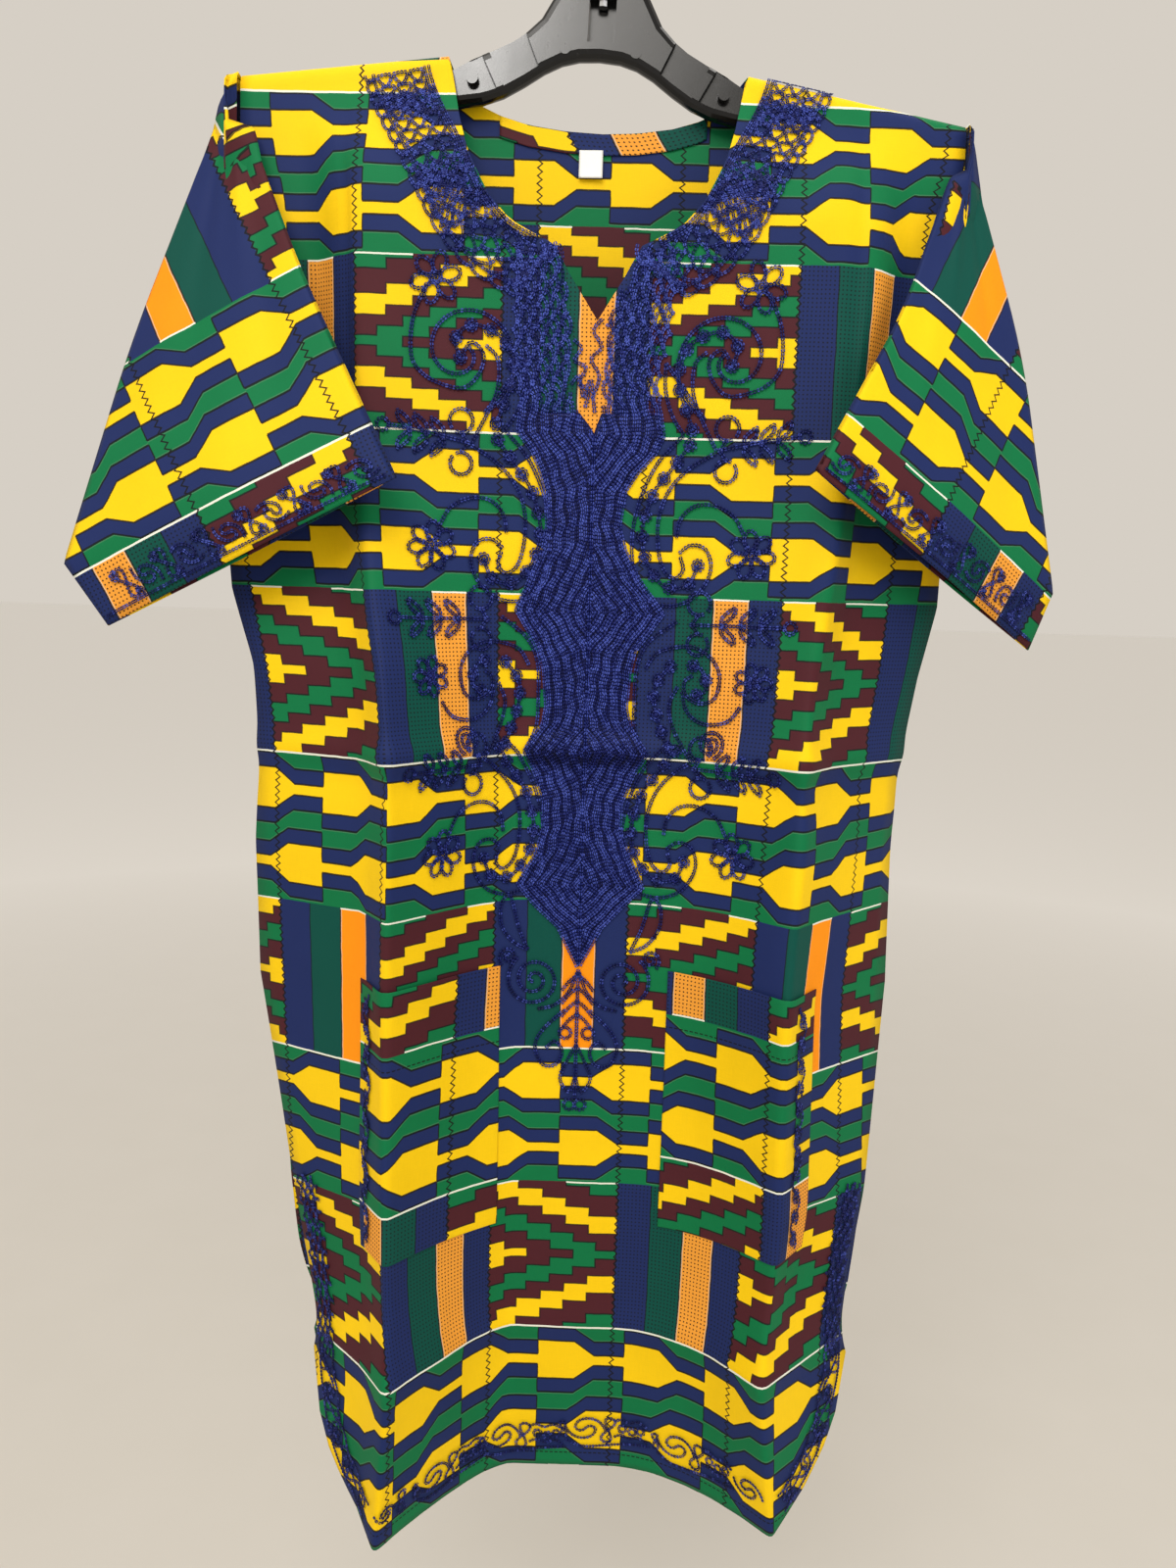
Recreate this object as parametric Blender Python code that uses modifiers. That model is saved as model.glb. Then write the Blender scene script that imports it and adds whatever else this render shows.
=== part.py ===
"""A kente print dashiki shirt hanging on a plastic hanger. Metres, +Z up, the front faces -Y.

The origin is the hang point, inside the top of the hook. Every size below is in millimetres and is
scaled once, by MM, where a mesh is made.
"""

import functools
import math

import bmesh
import bpy
from mathutils import Vector

MM = 0.001

# Cloth
WALL = 1.2            # thickness of every cloth piece
SEAM = 0.3            # gap between two pieces at a seam
TRIM_WALL = 1.0       # pocket, facing and label

# Hanger: half outline of the moulding, and its place under the cloth
TILT = 2.0            # the hanger hangs a little lower on the right
ARM_THICK = 12.0      # front to back
ARM_ROUND = 5.0       # rounding of the arm, top and bottom
ARM_HEIGHT = 21.0     # the arm at its end
ARM_SHORT = 10.0      # the arm ends this far short of the shoulder point
ARM_NECK = (88.0, -105.2)         # top of the arm under the neck point, and under the shoulder point
ARM_TIP = (216.0, -126.2)
NECK_POINT = (88.0, -97.6)        # where the shoulder seams start, level on an untilted hanger
SHOULDER_TIP = (216.0, -116.8)    # where they end
ROLL = 7.1            # radius of the cloth's bend over the arm
RIM = 5.0             # raised rim round each recess
RECESS = 4.5          # depth of a recess, each side
STEM_HALF = 28.0
STEM_TOP = -46.0
SLOT_HALF = 8.0
SLOT_TOP, SLOT_BOTTOM = -60.0, -86.0
BOSSES = ((21.0, -90.0), (75.0, -109.5))
BOSS_RADIUS = 3.6
BOSS_PROUD = 0.3

# Hook
WIRE = 3.6
HOOK_RADIUS = 20.8    # centre line of the loop
HEAD_SWELL = 1.7      # the headed end of the wire, as a multiple of its radius
BORE_CLEARANCE = 0.3

# Panels: distances down are measured from the hang point, distances across along the cloth
FRONT_BASE = -30.0    # depth of the front's middle once it has left the hanger
BACK_BASE = 9.5
FRONT_FALL, BACK_FALL = 75.0, 12.0    # lengths over which they swing out from the hanger
FOOT_LEFT, FOOT_RIGHT = 40.0, 31.0    # where the front starts to rise towards its two creases
RISE_LEFT, RISE_RIGHT = 1.35, 1.9     # how hollow that rise is
STEP = 32.0           # width of the steep strip beyond each crease
ARMHOLE = 325.0       # bottom of the armholes
SLIT = 800.0          # top of the side slits
FOLD = 903.0          # lower fold line, where the slit edges turn into the hem
HEM = 1013.0
SLIT_PARTING = 7.0    # the back's slit edge lies this far behind the front's
SLIT_SPREAD = 4.0     # and shows this far beyond it
BACK_SHARE = 0.85     # the back is creased with the front, a little less

# Front section at each height. Across, from the middle: the two edges and the two creases. Forward of
# the middle: the edge (out), the foot of the steep strip beside the crease (step), and the crease.
SECTION_COLUMNS = ("down", "edgeLeft", "outLeft", "stepLeft", "creaseLeft", "atLeft",
                   "atRight", "creaseRight", "stepRight", "outRight", "edgeRight")
SECTIONS = (
    (95.0, 220.5, -22.0, -22.0, 0.0, 148.0, 163.0, 0.0, -22.0, -22.0, 215.5),
    (230.0, 223.5, -20.0, -20.0, 3.0, 146.0, 160.0, 4.0, -20.0, -22.0, 218.5),
    (325.0, 227.0, -14.0, -10.0, 12.0, 140.0, 152.0, 12.0, -14.0, -24.0, 221.5),
    (410.0, 229.0, -2.0, 14.0, 40.0, 128.0, 142.0, 24.0, -2.0, -28.0, 222.5),
    (455.0, 222.5, 4.0, 31.0, 57.0, 119.0, 135.0, 30.0, 5.0, -30.0, 214.0),
    (508.0, 212.0, 8.0, 38.0, 64.0, 114.0, 132.0, 42.0, 16.0, -28.0, 206.0),
    (565.0, 208.5, 9.0, 39.0, 64.0, 114.0, 132.0, 45.0, 22.0, -30.0, 204.5),
    (655.0, 202.0, 4.0, 36.0, 62.0, 116.0, 127.5, 57.0, 32.0, -14.0, 203.5),
    (800.0, 197.5, -2.0, 36.0, 62.0, 116.0, 132.0, 48.0, 24.0, -6.0, 198.0),
    (855.0, 194.0, -5.0, 37.0, 63.0, 114.5, 130.0, 48.0, 22.0, -2.0, 190.5),
    (903.0, 183.0, -5.0, 50.0, 76.0, 112.0, 124.5, 60.0, 38.0, -1.0, 187.0),
    (925.0, 189.0, -2.0, 52.0, 78.0, 113.0, 127.0, 60.0, 38.0, 1.0, 194.5),
    (1015.0, 188.0, 15.0, 55.0, 81.0, 119.0, 138.0, 60.0, 38.0, 8.0, 192.0),
)

# Heights of the panels' rows between the neckline and the lower fold; the pockets share them
POCKET_TOP, POCKET_BOTTOM = 646.0, 826.0
LEVELS = (262.0, 292.0, 325.0, 367.0, 410.0, 455.0, 508.0, 565.0, 606.0,
          POCKET_TOP, 691.0, 736.0, 781.0, POCKET_BOTTOM, 865.0, FOLD)
BACK_LEVELS = tuple(level for level in LEVELS if level not in (606.0, 691.0, 736.0, 781.0))

# Neckline: half width at each distance down, then the notch
FRONT_NECK = ((88.0, 98.0), (87.0, 104.0), (85.8, 110.0), (82.0, 131.0), (76.0, 153.0), (70.0, 166.0),
              (63.0, 179.0), (51.0, 192.0), (38.0, 199.0), (25.0, 205.0), (18.0, 219.0), (0.0, 247.0))
BACK_NECK = ((88.0, 98.0), (84.5, 104.0), (79.0, 111.0), (71.0, 117.5), (60.0, 122.5), (44.0, 127.0),
             (22.0, 130.0), (0.0, 131.0))
FACING_HALF = 63.0
NECK_STARTS = (0.0, 3.0, 6.0, 9.0, 12.0)   # rows close below the neckline and the shoulder seams
LABEL_WIDTH, LABEL_HEIGHT = 14.5, 16.0
LABEL_AT = (-7.0, 141.0)

# Hem corner: how far in from the slit edge, and how far down towards the hem, as shares
CORNER = ((0.0, 0.14), (0.06, 0.38), (0.24, 0.64), (0.5, 0.82), (1.0, 1.0))

# Patch pockets: side, and how far out the inner edge lies. Each wraps over its crease and the step
POCKETS = (("pocket_left", -52.0), ("pocket_right", 59.0))

# Sleeves: each hangs flat in front of the body. Across, depth and down at the shoulder point, the
# inner fold half way and at the cuff, the outer fold at the cuff band and the two cuff corners.
SLEEVES = {
    "sleeve_left": {
        "tip": (-223.0, 0.0, 112.0),
        "innerHalf": (-171.0, -48.0, 229.0),
        "innerCuff": (-110.0, -86.0, 345.0),
        "outerHalf": (-279.0, -24.0, 264.0),
        "outerBand": (-316.0, -47.0, 398.0),
        "outerCuff": (-289.0, -52.0, 434.0),
        "underarm": (-240.0, -6.0, 327.0),
        "underarmSag": 22.0,
    },
    "sleeve_right": {
        "tip": (217.0, 0.0, 128.0),
        "innerHalf": (179.0, -38.0, 238.0),
        "innerCuff": (125.0, -84.0, 334.0),
        "outerHalf": (259.0, -15.0, 258.0),
        "outerBand": (289.5, -18.0, 398.0),
        "outerCuff": (279.0, -14.0, 434.0),
        "underarm": (239.0, 0.0, 327.0),
        "underarmSag": 22.0,
    },
}
CUFF_BAND = 0.875     # share of the sleeve's length above the cuff band
LAYER_SHOWN, LAYER_BEHIND, LAYER_HIDDEN = 8, 5, 11   # steps across each layer of a sleeve
SHOWN_ARMHOLE = 0.16  # share of the back armhole that carries the layer that shows
SLEEVE_HALF_GAP = 7.0
SLEEVE_CLEARANCE = (5.8, 3.2)   # in front of the panel: the layer that shows, and the hidden layer
SLEEVE_BESIDE = 2.2   # next to the armhole the sleeve turns forward before it crosses the panel's edge
SLEEVE_HELD = (0.14, 0.4)    # shares of its length over which the armhole's shape dies out
SLEEVE_RINGS = (0.0, 0.08, 0.18, 0.3, 0.43, 0.56, 0.68, 0.78, CUFF_BAND, 0.94, 1.0)


def mix(a, b, share):
    return a + (b - a) * share


def between(value, table, column, key=0):
    """Reads a column of a table at a value of its key column, straight between two rows."""
    for low, high in zip(table, table[1:]):
        if value <= high[key]:
            break
    share = (value - low[key]) / (high[key] - low[key])
    return mix(low[column], high[column], min(max(share, 0.0), 1.0))


def ease(share):
    share = min(max(share, 0.0), 1.0)
    return share * share * (3 - 2 * share)


@functools.cache
def section(down):
    return {name: between(down, SECTIONS, i) for i, name in enumerate(SECTION_COLUMNS)}


def opened(down):
    """The cloth lies flat on the hanger, and its folds open over this share below it."""
    return ease((down - 112) / FRONT_FALL)


def half_section(down, side, share=1.0, out=None, spread=0.0):
    """Half of a section: across, forward and the run of the cloth from the middle to each point."""
    row = section(down)
    name, foot, power = ("Left", FOOT_LEFT, RISE_LEFT) if side < 0 else ("Right", FOOT_RIGHT, RISE_RIGHT)
    crease, height, step = row["at" + name], share * row["crease" + name], share * row["step" + name]
    beside = crease + math.sqrt(STEP ** 2 - (opened(down) * (height - step)) ** 2)
    points = [(mix(foot, crease, i / 6), height * (i / 6) ** power) for i in range(7)]
    points += [(beside, step), (row["edge" + name] + spread, row["out" + name] if out is None else out)]
    half, run = [(0.0, 0.0, 0.0)], 0.0
    for across, rise in points:
        run += math.hypot(across - half[-1][0], opened(down) * (rise - half[-1][1]))
        half.append((across, rise, run))
    return half


def on_half(half, run):
    """Across and forward at a run of the cloth."""
    return between(run, half, 0, key=2), between(run, half, 1, key=2)


@functools.cache
def front_half(down, side):
    return half_section(down, side)


@functools.cache
def back_half(down, side):
    """The back shares the front's creases, and its edge meets the front's at the side seam."""
    front = front_half(down, side)
    slope = (front[-1][1] - front[-2][1]) / (front[-1][0] - front[-2][0])
    parted, held = ease((down - SLIT) / 60), ease((down - ARMHOLE + 60) / 60)
    apart = (WALL + SEAM) * math.hypot(1, slope) + SLIT_PARTING * parted
    out = held * (BACK_BASE - front_edge(down, side).y - apart)
    spread = SLIT_SPREAD * parted * (1 - ease((down - 868) / 35))
    return half_section(down, side, BACK_SHARE * ease((down - 300) / 200), out, spread)


def tilted(across, up):
    """A point of the hanger's own plane, turned about the hang point."""
    turn = math.radians(TILT)
    return (across * math.cos(turn) + up * math.sin(turn),
            up * math.cos(turn) - across * math.sin(turn))


def shoulder_height(across):
    """Height of the shoulder seam, a straight line each side."""
    side = 1 if across > 0 else -1
    neck = tilted(side * NECK_POINT[0], NECK_POINT[1])
    tip = tilted(side * SHOULDER_TIP[0], SHOULDER_TIP[1])
    share = (across - neck[0]) / (tip[0] - neck[0])
    return mix(neck[1], tip[1], max(share, -0.3))


def over_hanger(across, down, side, base, fall):
    """Height and depth near the shoulder, where the cloth bends over the arm. Side is -1 in front."""
    start = -(shoulder_height(across) - ROLL)
    if down < start:
        angle = (start - down) / ROLL
        return -start + ROLL * math.sin(angle), side * ROLL * math.cos(angle)
    return -down, mix(side * ROLL, base, ease((down - start) / fall))


def front_point(across, down):
    side = -1 if across < 0 else 1
    x, rise = on_half(front_half(down, side), abs(across))
    z, y = over_hanger(side * x, down, -1, FRONT_BASE - rise, FRONT_FALL)
    return Vector((side * x, y, z))


def edge_run(down, side):
    return front_half(down, side)[-1][2]


def front_edge(down, side):
    return front_point(side * edge_run(down, side), down)


def back_point(across, down):
    side = -1 if across < 0 else 1
    x, rise = on_half(back_half(down, side), abs(across))
    z, y = over_hanger(side * x, down, 1, BACK_BASE - rise, BACK_FALL)
    return Vector((side * x, y, z))


def seam_top(across):
    """Distance down the cloth at which the shoulder seam lies, half a seam short of the middle."""
    start = -(shoulder_height(across) - ROLL)
    return start - ROLL * math.pi / 2 + (SEAM + WALL) / 2


def neck_share(side):
    """The tilt carries the neck points to the left, so the neckline is wider on that side."""
    return abs(tilted(side * NECK_POINT[0], NECK_POINT[1])[0]) / NECK_POINT[0]


def panel_top(across, neck):
    half = abs(across) / neck_share(-1 if across < 0 else 1)
    if half >= neck[0][0] - 0.01:
        return seam_top(across)
    rows = tuple((-width, down) for width, down in neck)
    return max(between(-half, rows, 1), seam_top(across))


def panel_bottom(half, across):
    """The hem, straight between the creases and rounded up to the slit edge beyond them."""
    crease, edge = half[-3][2], half[-1][2]
    inward = (edge - abs(across)) / (edge - crease)
    return mix(FOLD, HEM, between(inward, CORNER, 1))


def new_material(name, colour, roughness, metallic=0.0):
    material = bpy.data.materials.new(name)
    material.use_nodes = True
    shader = material.node_tree.nodes["Principled BSDF"]
    shader.inputs["Base Color"].default_value = (*colour, 1.0)
    shader.inputs["Roughness"].default_value = roughness
    shader.inputs["Metallic"].default_value = metallic
    material.diffuse_color = (*colour, 1.0)
    return material


def new_object(name, mesh, material, collection):
    obj = bpy.data.objects.new(name, mesh)
    obj.data.materials.append(material)
    collection.objects.link(obj)
    return obj


def cloth(name, rows, wall, material, collection, closed=False, flip=False):
    """A wall of cloth through rows of points: an open surface, thickened evenly both ways."""
    mesh = bpy.data.meshes.new(name)
    width = len(rows[0])
    points = [point * MM for row in rows for point in row]
    last = width if closed else width - 1
    faces = []
    for i in range(len(rows) - 1):
        for j in range(last):
            k = (j + 1) % width
            face = (i * width + j, (i + 1) * width + j, (i + 1) * width + k, i * width + k)
            faces.append(face[::-1] if flip else face)
    mesh.from_pydata(points, [], faces)
    obj = new_object(name, mesh, material, collection)
    solid = obj.modifiers.new("wall", "SOLIDIFY")
    solid.thickness = wall * MM
    solid.offset = 0.0
    for polygon in mesh.polygons:
        polygon.use_smooth = True
    return obj


def across_columns(down_at, neck):
    """Places across a row of a panel: its edges, creases and the neckline's own corners."""
    half = [width for width, _ in neck] + [102.0, 122.0]
    places = {side * at * neck_share(side) for at in half for side in (-1, 1)}
    if neck is FRONT_NECK:
        places |= {pocket[1] for pocket in POCKETS}
    for side in (-1, 1):
        down = down_at(side * 200.0)
        *_, crease, beside, edge = front_half(down, side) if neck is FRONT_NECK else back_half(down, side)
        places |= {side * mix(beside[2], edge[2], share) for share in (0, 0.33, 0.66, 1)}
        places.add(side * crease[2])
    return sorted(places)


def panel_rows(point_at, neck, levels):
    """Rows of a panel from its shoulder and neckline down to its hem."""
    downs = [lambda at, start=start: panel_top(at, neck) + start for start in NECK_STARTS]
    downs += [lambda at, share=share: mix(panel_top(at, neck) + NECK_STARTS[-1], levels[0], share)
              for share in (0.25, 0.5, 0.75)]
    downs += [lambda at, level=level: level for level in levels]
    rows = [[point_at(at, down_at(at)) for at in across_columns(down_at, neck)] for down_at in downs]
    half_at = front_half if neck is FRONT_NECK else back_half
    for share in (0.33, 0.66, 1.0):
        places = across_columns(lambda at: HEM, neck)
        bottoms = [panel_bottom(half_at(HEM, -1 if at < 0 else 1), at) for at in places]
        rows.append([point_at(at, mix(FOLD, bottom, share)) for at, bottom in zip(places, bottoms)])
    return rows


def make_panels(material, collection):
    cloth("front_panel", panel_rows(front_point, FRONT_NECK, LEVELS), WALL, material, collection)
    cloth("back_panel", panel_rows(back_point, BACK_NECK, BACK_LEVELS), WALL, material, collection,
          flip=True)


def normal_at(point_at, across, down):
    side = point_at(across + 1, down) - point_at(across - 1, down)
    fall = point_at(across, down + 1) - point_at(across, down - 1)
    return fall.cross(side).normalized()


def laid_on(point_at, across, down, out):
    """A point of a piece that lies on a panel: the panel's own point, moved out, further on a crease."""
    beside = normal_at(point_at, across - 1.5, down)
    normal = (beside + normal_at(point_at, across + 1.5, down)).normalized()
    return point_at(across, down) + normal * (out / max(normal.dot(beside), 0.4))


def make_pockets(material, collection):
    out = WALL / 2 + SEAM + TRIM_WALL / 2
    downs = [level for level in LEVELS if POCKET_TOP <= level <= POCKET_BOTTOM]
    for name, inner in POCKETS:
        side = -1 if inner < 0 else 1
        rows = []
        for down in downs:
            low, high = sorted((inner, side * front_half(down, side)[-2][2]))
            places = [at for at in across_columns(lambda at: down, FRONT_NECK)
                      if low - 0.01 <= at <= high + 0.01]
            rows.append([laid_on(front_point, at, down, out) for at in places])
        cloth(name, rows, TRIM_WALL, material, collection)


def make_neck_trim(facing, white, collection):
    """The facing inside the back neckline, and the size label that hangs from it."""
    inside = WALL / 2 + SEAM + TRIM_WALL / 2
    places = [at for at in across_columns(lambda at: 131.0, BACK_NECK) if abs(at) < FACING_HALF]
    rows = [[laid_on(back_point, at, panel_top(at, BACK_NECK) + max(start, 0.5), inside) for at in places]
            for start in NECK_STARTS]
    cloth("back_neck_facing", rows, TRIM_WALL, facing, collection, flip=True)
    inside = -inside - TRIM_WALL - SEAM
    left, top = LABEL_AT[0] - LABEL_WIDTH / 2, LABEL_AT[1]
    rows = [[back_point(left + LABEL_WIDTH * i / 3, top + LABEL_HEIGHT * j / 3)
             + Vector((0, inside - 1.2 * j / 3, 0)) for i in range(4)] for j in range(4)]
    cloth("size_label", rows, TRIM_WALL, white, collection, flip=True)


def along(points, share):
    """A place on a line through points, at a share of its whole length."""
    lengths = [(b - a).length for a, b in zip(points, points[1:])]
    left = share * sum(lengths)
    for a, b, length in zip(points, points[1:], lengths):
        if left <= length:
            break
        left -= length
    return a.lerp(b, min(left / max(length, 1e-6), 1.0))


def rounded_along(points, share, spread=0.1):
    """As along, with the corners rounded off."""
    spread = min(spread, share, 1 - share)
    return sum((along(points, share + spread * k / 2) for k in (-2, -1, 0, 1, 2)), Vector()) / 5


def armhole_ring(side):
    """The open edge of the body that a sleeve is sewn to: down the back edge and up the front one,
    where the sleeve's seam turns forward over the panel."""
    top = seam_top(side * edge_run(120.0, side)) + 3
    ring = []
    for i in range(LAYER_SHOWN + LAYER_BEHIND):
        if i < LAYER_SHOWN:
            part = SHOWN_ARMHOLE * i / LAYER_SHOWN
        else:
            part = mix(SHOWN_ARMHOLE, 1.0, (i - LAYER_SHOWN) / LAYER_BEHIND)
        down = mix(top, ARMHOLE, part)
        edge = back_point(side * back_half(down, side)[-1][2], down)
        ring.append(edge + Vector((side * (WALL / 2 + SEAM + 0.15), 0, 0)))
    for i in range(LAYER_HIDDEN):
        down = mix(ARMHOLE, top, (1 - math.cos(math.pi * i / LAYER_HIDDEN)) / 2)
        lifted = laid_on(front_point, side * edge_run(down, side), down, WALL + SEAM + 1.0)
        ring.append(lifted + Vector((side * (WALL + SEAM), 0, 0)))
    return ring


def in_front(point, clearance, beside):
    """Keeps a point of a sleeve clear of the front panel wherever it hangs over it or close beside it."""
    down, side = -point.z, math.copysign(1, point.x)
    half = front_half(down, side)
    edge = half[-1][0]
    if abs(point.x) > edge + 8:
        return point
    x = max(abs(point.x), edge + beside) if beside else abs(point.x)
    run = between(min(x, edge), half, 2)
    limit = front_point(side * run, down).y - clearance
    return Vector((side * x, min(point.y, limit), point.z))


def free_ring(sleeve, share):
    """A ring of the sleeve as it falls from the shoulder point: the layer that shows, from the inner
    fold to the outer fold; the layer behind it, on to the underarm seam; and the hidden layer."""
    at = {name: Vector((place[0], place[1], -place[2]))
          for name, place in sleeve.items() if name != "underarmSag"}
    inner = rounded_along([at["tip"], at["innerHalf"], at["innerCuff"]], share)
    if share < CUFF_BAND:
        outer = rounded_along([at["tip"], at["outerHalf"], at["outerBand"]], share / CUFF_BAND)
    else:
        outer = at["outerBand"].lerp(at["outerCuff"], (share - CUFF_BAND) / (1 - CUFF_BAND))
    under = at["underarm"].lerp(at["outerCuff"], share)
    under.z -= sleeve["underarmSag"] * math.sin(math.pi * share)
    ring = []
    for start, end, count, low, high in ((inner, outer, LAYER_SHOWN, 0.0, -share),
                                         (outer, under, LAYER_BEHIND, 1.0, 0.0),
                                         (under, inner, LAYER_HIDDEN, -1.0, 1.0)):
        for i in range(count):
            swell = SLEEVE_HALF_GAP * math.sin(math.pi * i / count)
            lean = mix(low, high, share) if count != LAYER_SHOWN else high
            ring.append(start.lerp(end, i / count) + Vector((0, lean * swell, 0)))
    return ring


def make_sleeves(material, collection):
    for name, sleeve in SLEEVES.items():
        side = math.copysign(1, sleeve["tip"][0])
        sewn, start = armhole_ring(side), free_ring(sleeve, 0.0)
        rows = []
        for share in SLEEVE_RINGS:
            held = [1 - ease(share / length) for length in SLEEVE_HELD]
            ring = [point + (edge - first) * held[i > LAYER_SHOWN]
                    for i, (point, edge, first) in enumerate(zip(free_ring(sleeve, share), sewn, start))]
            if share:
                beside = SLEEVE_BESIDE if share == SLEEVE_RINGS[1] else 0.0
                ring = [in_front(point, SLEEVE_CLEARANCE[i > LAYER_SHOWN + LAYER_BEHIND], beside)
                        for i, point in enumerate(ring)]
            rows.append(ring)
        cloth(name, rows, WALL, material, collection, closed=True, flip=side > 0)


def arm_top(across):
    """Top edge of the hanger in its own plane, from the stem's side out to the arm's end."""
    edge = ((STEM_HALF, -60.0), (36.0, -74.0), (44.0, -81.5), (52.0, -87.0), (63.0, -92.5),
            (76.0, -98.5), ARM_NECK, ARM_TIP)
    return between(abs(across), edge, 1)


def arm_bottom(across):
    edge = ((0.0, -94.5), (12.0, -95.3), (22.0, -98.0), (32.0, -103.0), (44.0, -111.0),
            (56.0, -118.0), (68.0, -122.5), (82.0, -125.0), (110.0, -128.5),
            (ARM_TIP[0], ARM_TIP[1] - ARM_HEIGHT))
    return between(abs(across), edge, 1)


def prism(name, outline, front, back, collection):
    """A flat outline in the hanger's plane, carried from one depth to another and tilted."""
    shape = bmesh.new()
    near = [shape.verts.new((x * MM, front * MM, z * MM)) for x, z in (tilted(*p) for p in outline)]
    face = shape.faces.new(near)
    moved = bmesh.ops.extrude_face_region(shape, geom=[face])["geom"]
    verts = [item for item in moved if isinstance(item, bmesh.types.BMVert)]
    bmesh.ops.translate(shape, verts=verts, vec=(0, (back - front) * MM, 0))
    bmesh.ops.recalc_face_normals(shape, faces=shape.faces)
    mesh = bpy.data.meshes.new(name)
    shape.to_mesh(mesh)
    shape.free()
    obj = bpy.data.objects.new(name, mesh)
    collection.objects.link(obj)
    return obj


def hanger_outline():
    end = ARM_TIP[0] - ARM_SHORT
    places = (36.0, 44.0, 52.0, 63.0, 76.0, 88.0, 130.0, 172.0, end - 10)
    half = [(9.0, STEM_TOP), (17.0, STEM_TOP - 3.0), (24.0, STEM_TOP - 8.0), (STEM_HALF, -60.0)]
    half += [(at, arm_top(at)) for at in places]
    middle = (arm_top(end) + arm_bottom(end)) / 2
    half += [(end - 4, arm_top(end) - 1), (end, middle + 4)]
    half += [(end, middle - 4), (end - 4, arm_bottom(end) + 1)]
    under = (end - 10, 150.0, 110.0, 82.0, 68.0, 56.0, 44.0, 32.0, 22.0, 12.0)
    half += [(at, arm_bottom(at)) for at in under]
    return half + [(0.0, -94.5)] + [(-x, z) for x, z in reversed(half)]


def recess_outline(start, end, lean=0.0):
    """A recess between the rims from one place to another, its ends leaning with the ribs."""
    places = [mix(start, end, i / 5) for i in range(6)]
    top = [(at + lean, arm_top(at) - RIM) for at in places]
    bottom = [(at, arm_bottom(at) + RIM) for at in places]
    return top + bottom[::-1]


def make_hanger(plastic, metal, collection, cutters):
    body = prism("hanger_body", hanger_outline(), -ARM_THICK / 2, ARM_THICK / 2, collection)
    body.data.materials.append(plastic)
    ridge = body.modifiers.new("soft edges", "BEVEL")
    ridge.width = ARM_ROUND * MM
    ridge.segments = 3
    ridge.limit_method = "ANGLE"
    ridge.angle_limit = math.radians(60)
    bays = ((36.0, 56.0, 10.0), (60.0, 84.0, 10.0), (88.0, 128.0, 0.0), (132.0, 168.0, 0.0),
            (172.0, 197.0, 0.0))
    for side in (-1, 1):
        for number, (start, end, lean) in enumerate(bays):
            outline = [(side * x, z) for x, z in recess_outline(start, end, lean)]
            for face in (-1, 1):
                name = f"recess_{'left' if side < 0 else 'right'}_{number}_{'front' if face < 0 else 'back'}"
                prism(name, outline, face * (ARM_THICK / 2 - RECESS), face * (ARM_THICK / 2 + 2), cutters)
    slot = [(-SLOT_HALF, SLOT_TOP), (SLOT_HALF, SLOT_TOP)]
    slot += [(SLOT_HALF, SLOT_BOTTOM), (-SLOT_HALF, SLOT_BOTTOM)]
    prism("slot", slot, -ARM_THICK, ARM_THICK, cutters)
    bpy.ops.mesh.primitive_cylinder_add(vertices=20, radius=(WIRE / 2 + BORE_CLEARANCE) * MM, depth=24 * MM)
    bore = bpy.context.object
    bore.name = "bore"
    x, z = tilted(0.0, (STEM_TOP + SLOT_TOP) / 2)
    bore.location = (x * MM, 0, z * MM)
    bore.rotation_euler = (0, math.radians(TILT), 0)
    move_to(bore, cutters)
    cut = body.modifiers.new("recesses", "BOOLEAN")
    cut.operation = "DIFFERENCE"
    cut.solver = "EXACT"
    cut.operand_type = "COLLECTION"
    cut.collection = cutters
    make_bosses(body, cutters)
    make_hook(metal, collection)


def make_bosses(body, cutters):
    """Round moulded bosses through the web, standing just proud of the rims."""
    pins = bpy.data.collections.new("hanger bosses")
    bpy.context.scene.collection.children.link(pins)
    pins.hide_render = True
    for across, up in BOSSES:
        for side in (-1, 1):
            x, z = tilted(side * across, up)
            bpy.ops.mesh.primitive_cylinder_add(
                vertices=24, radius=BOSS_RADIUS * MM, depth=(ARM_THICK + 2 * BOSS_PROUD) * MM,
                location=(x * MM, 0, z * MM), rotation=(math.pi / 2, 0, 0))
            pin = bpy.context.object
            pin.name = f"boss_{int(across)}_{'left' if side < 0 else 'right'}"
            move_to(pin, pins)
            pin.hide_render = True
            pin.display_type = "WIRE"
    join = body.modifiers.new("bosses", "BOOLEAN")
    join.operation = "UNION"
    join.solver = "EXACT"
    join.operand_type = "COLLECTION"
    join.collection = pins


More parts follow.
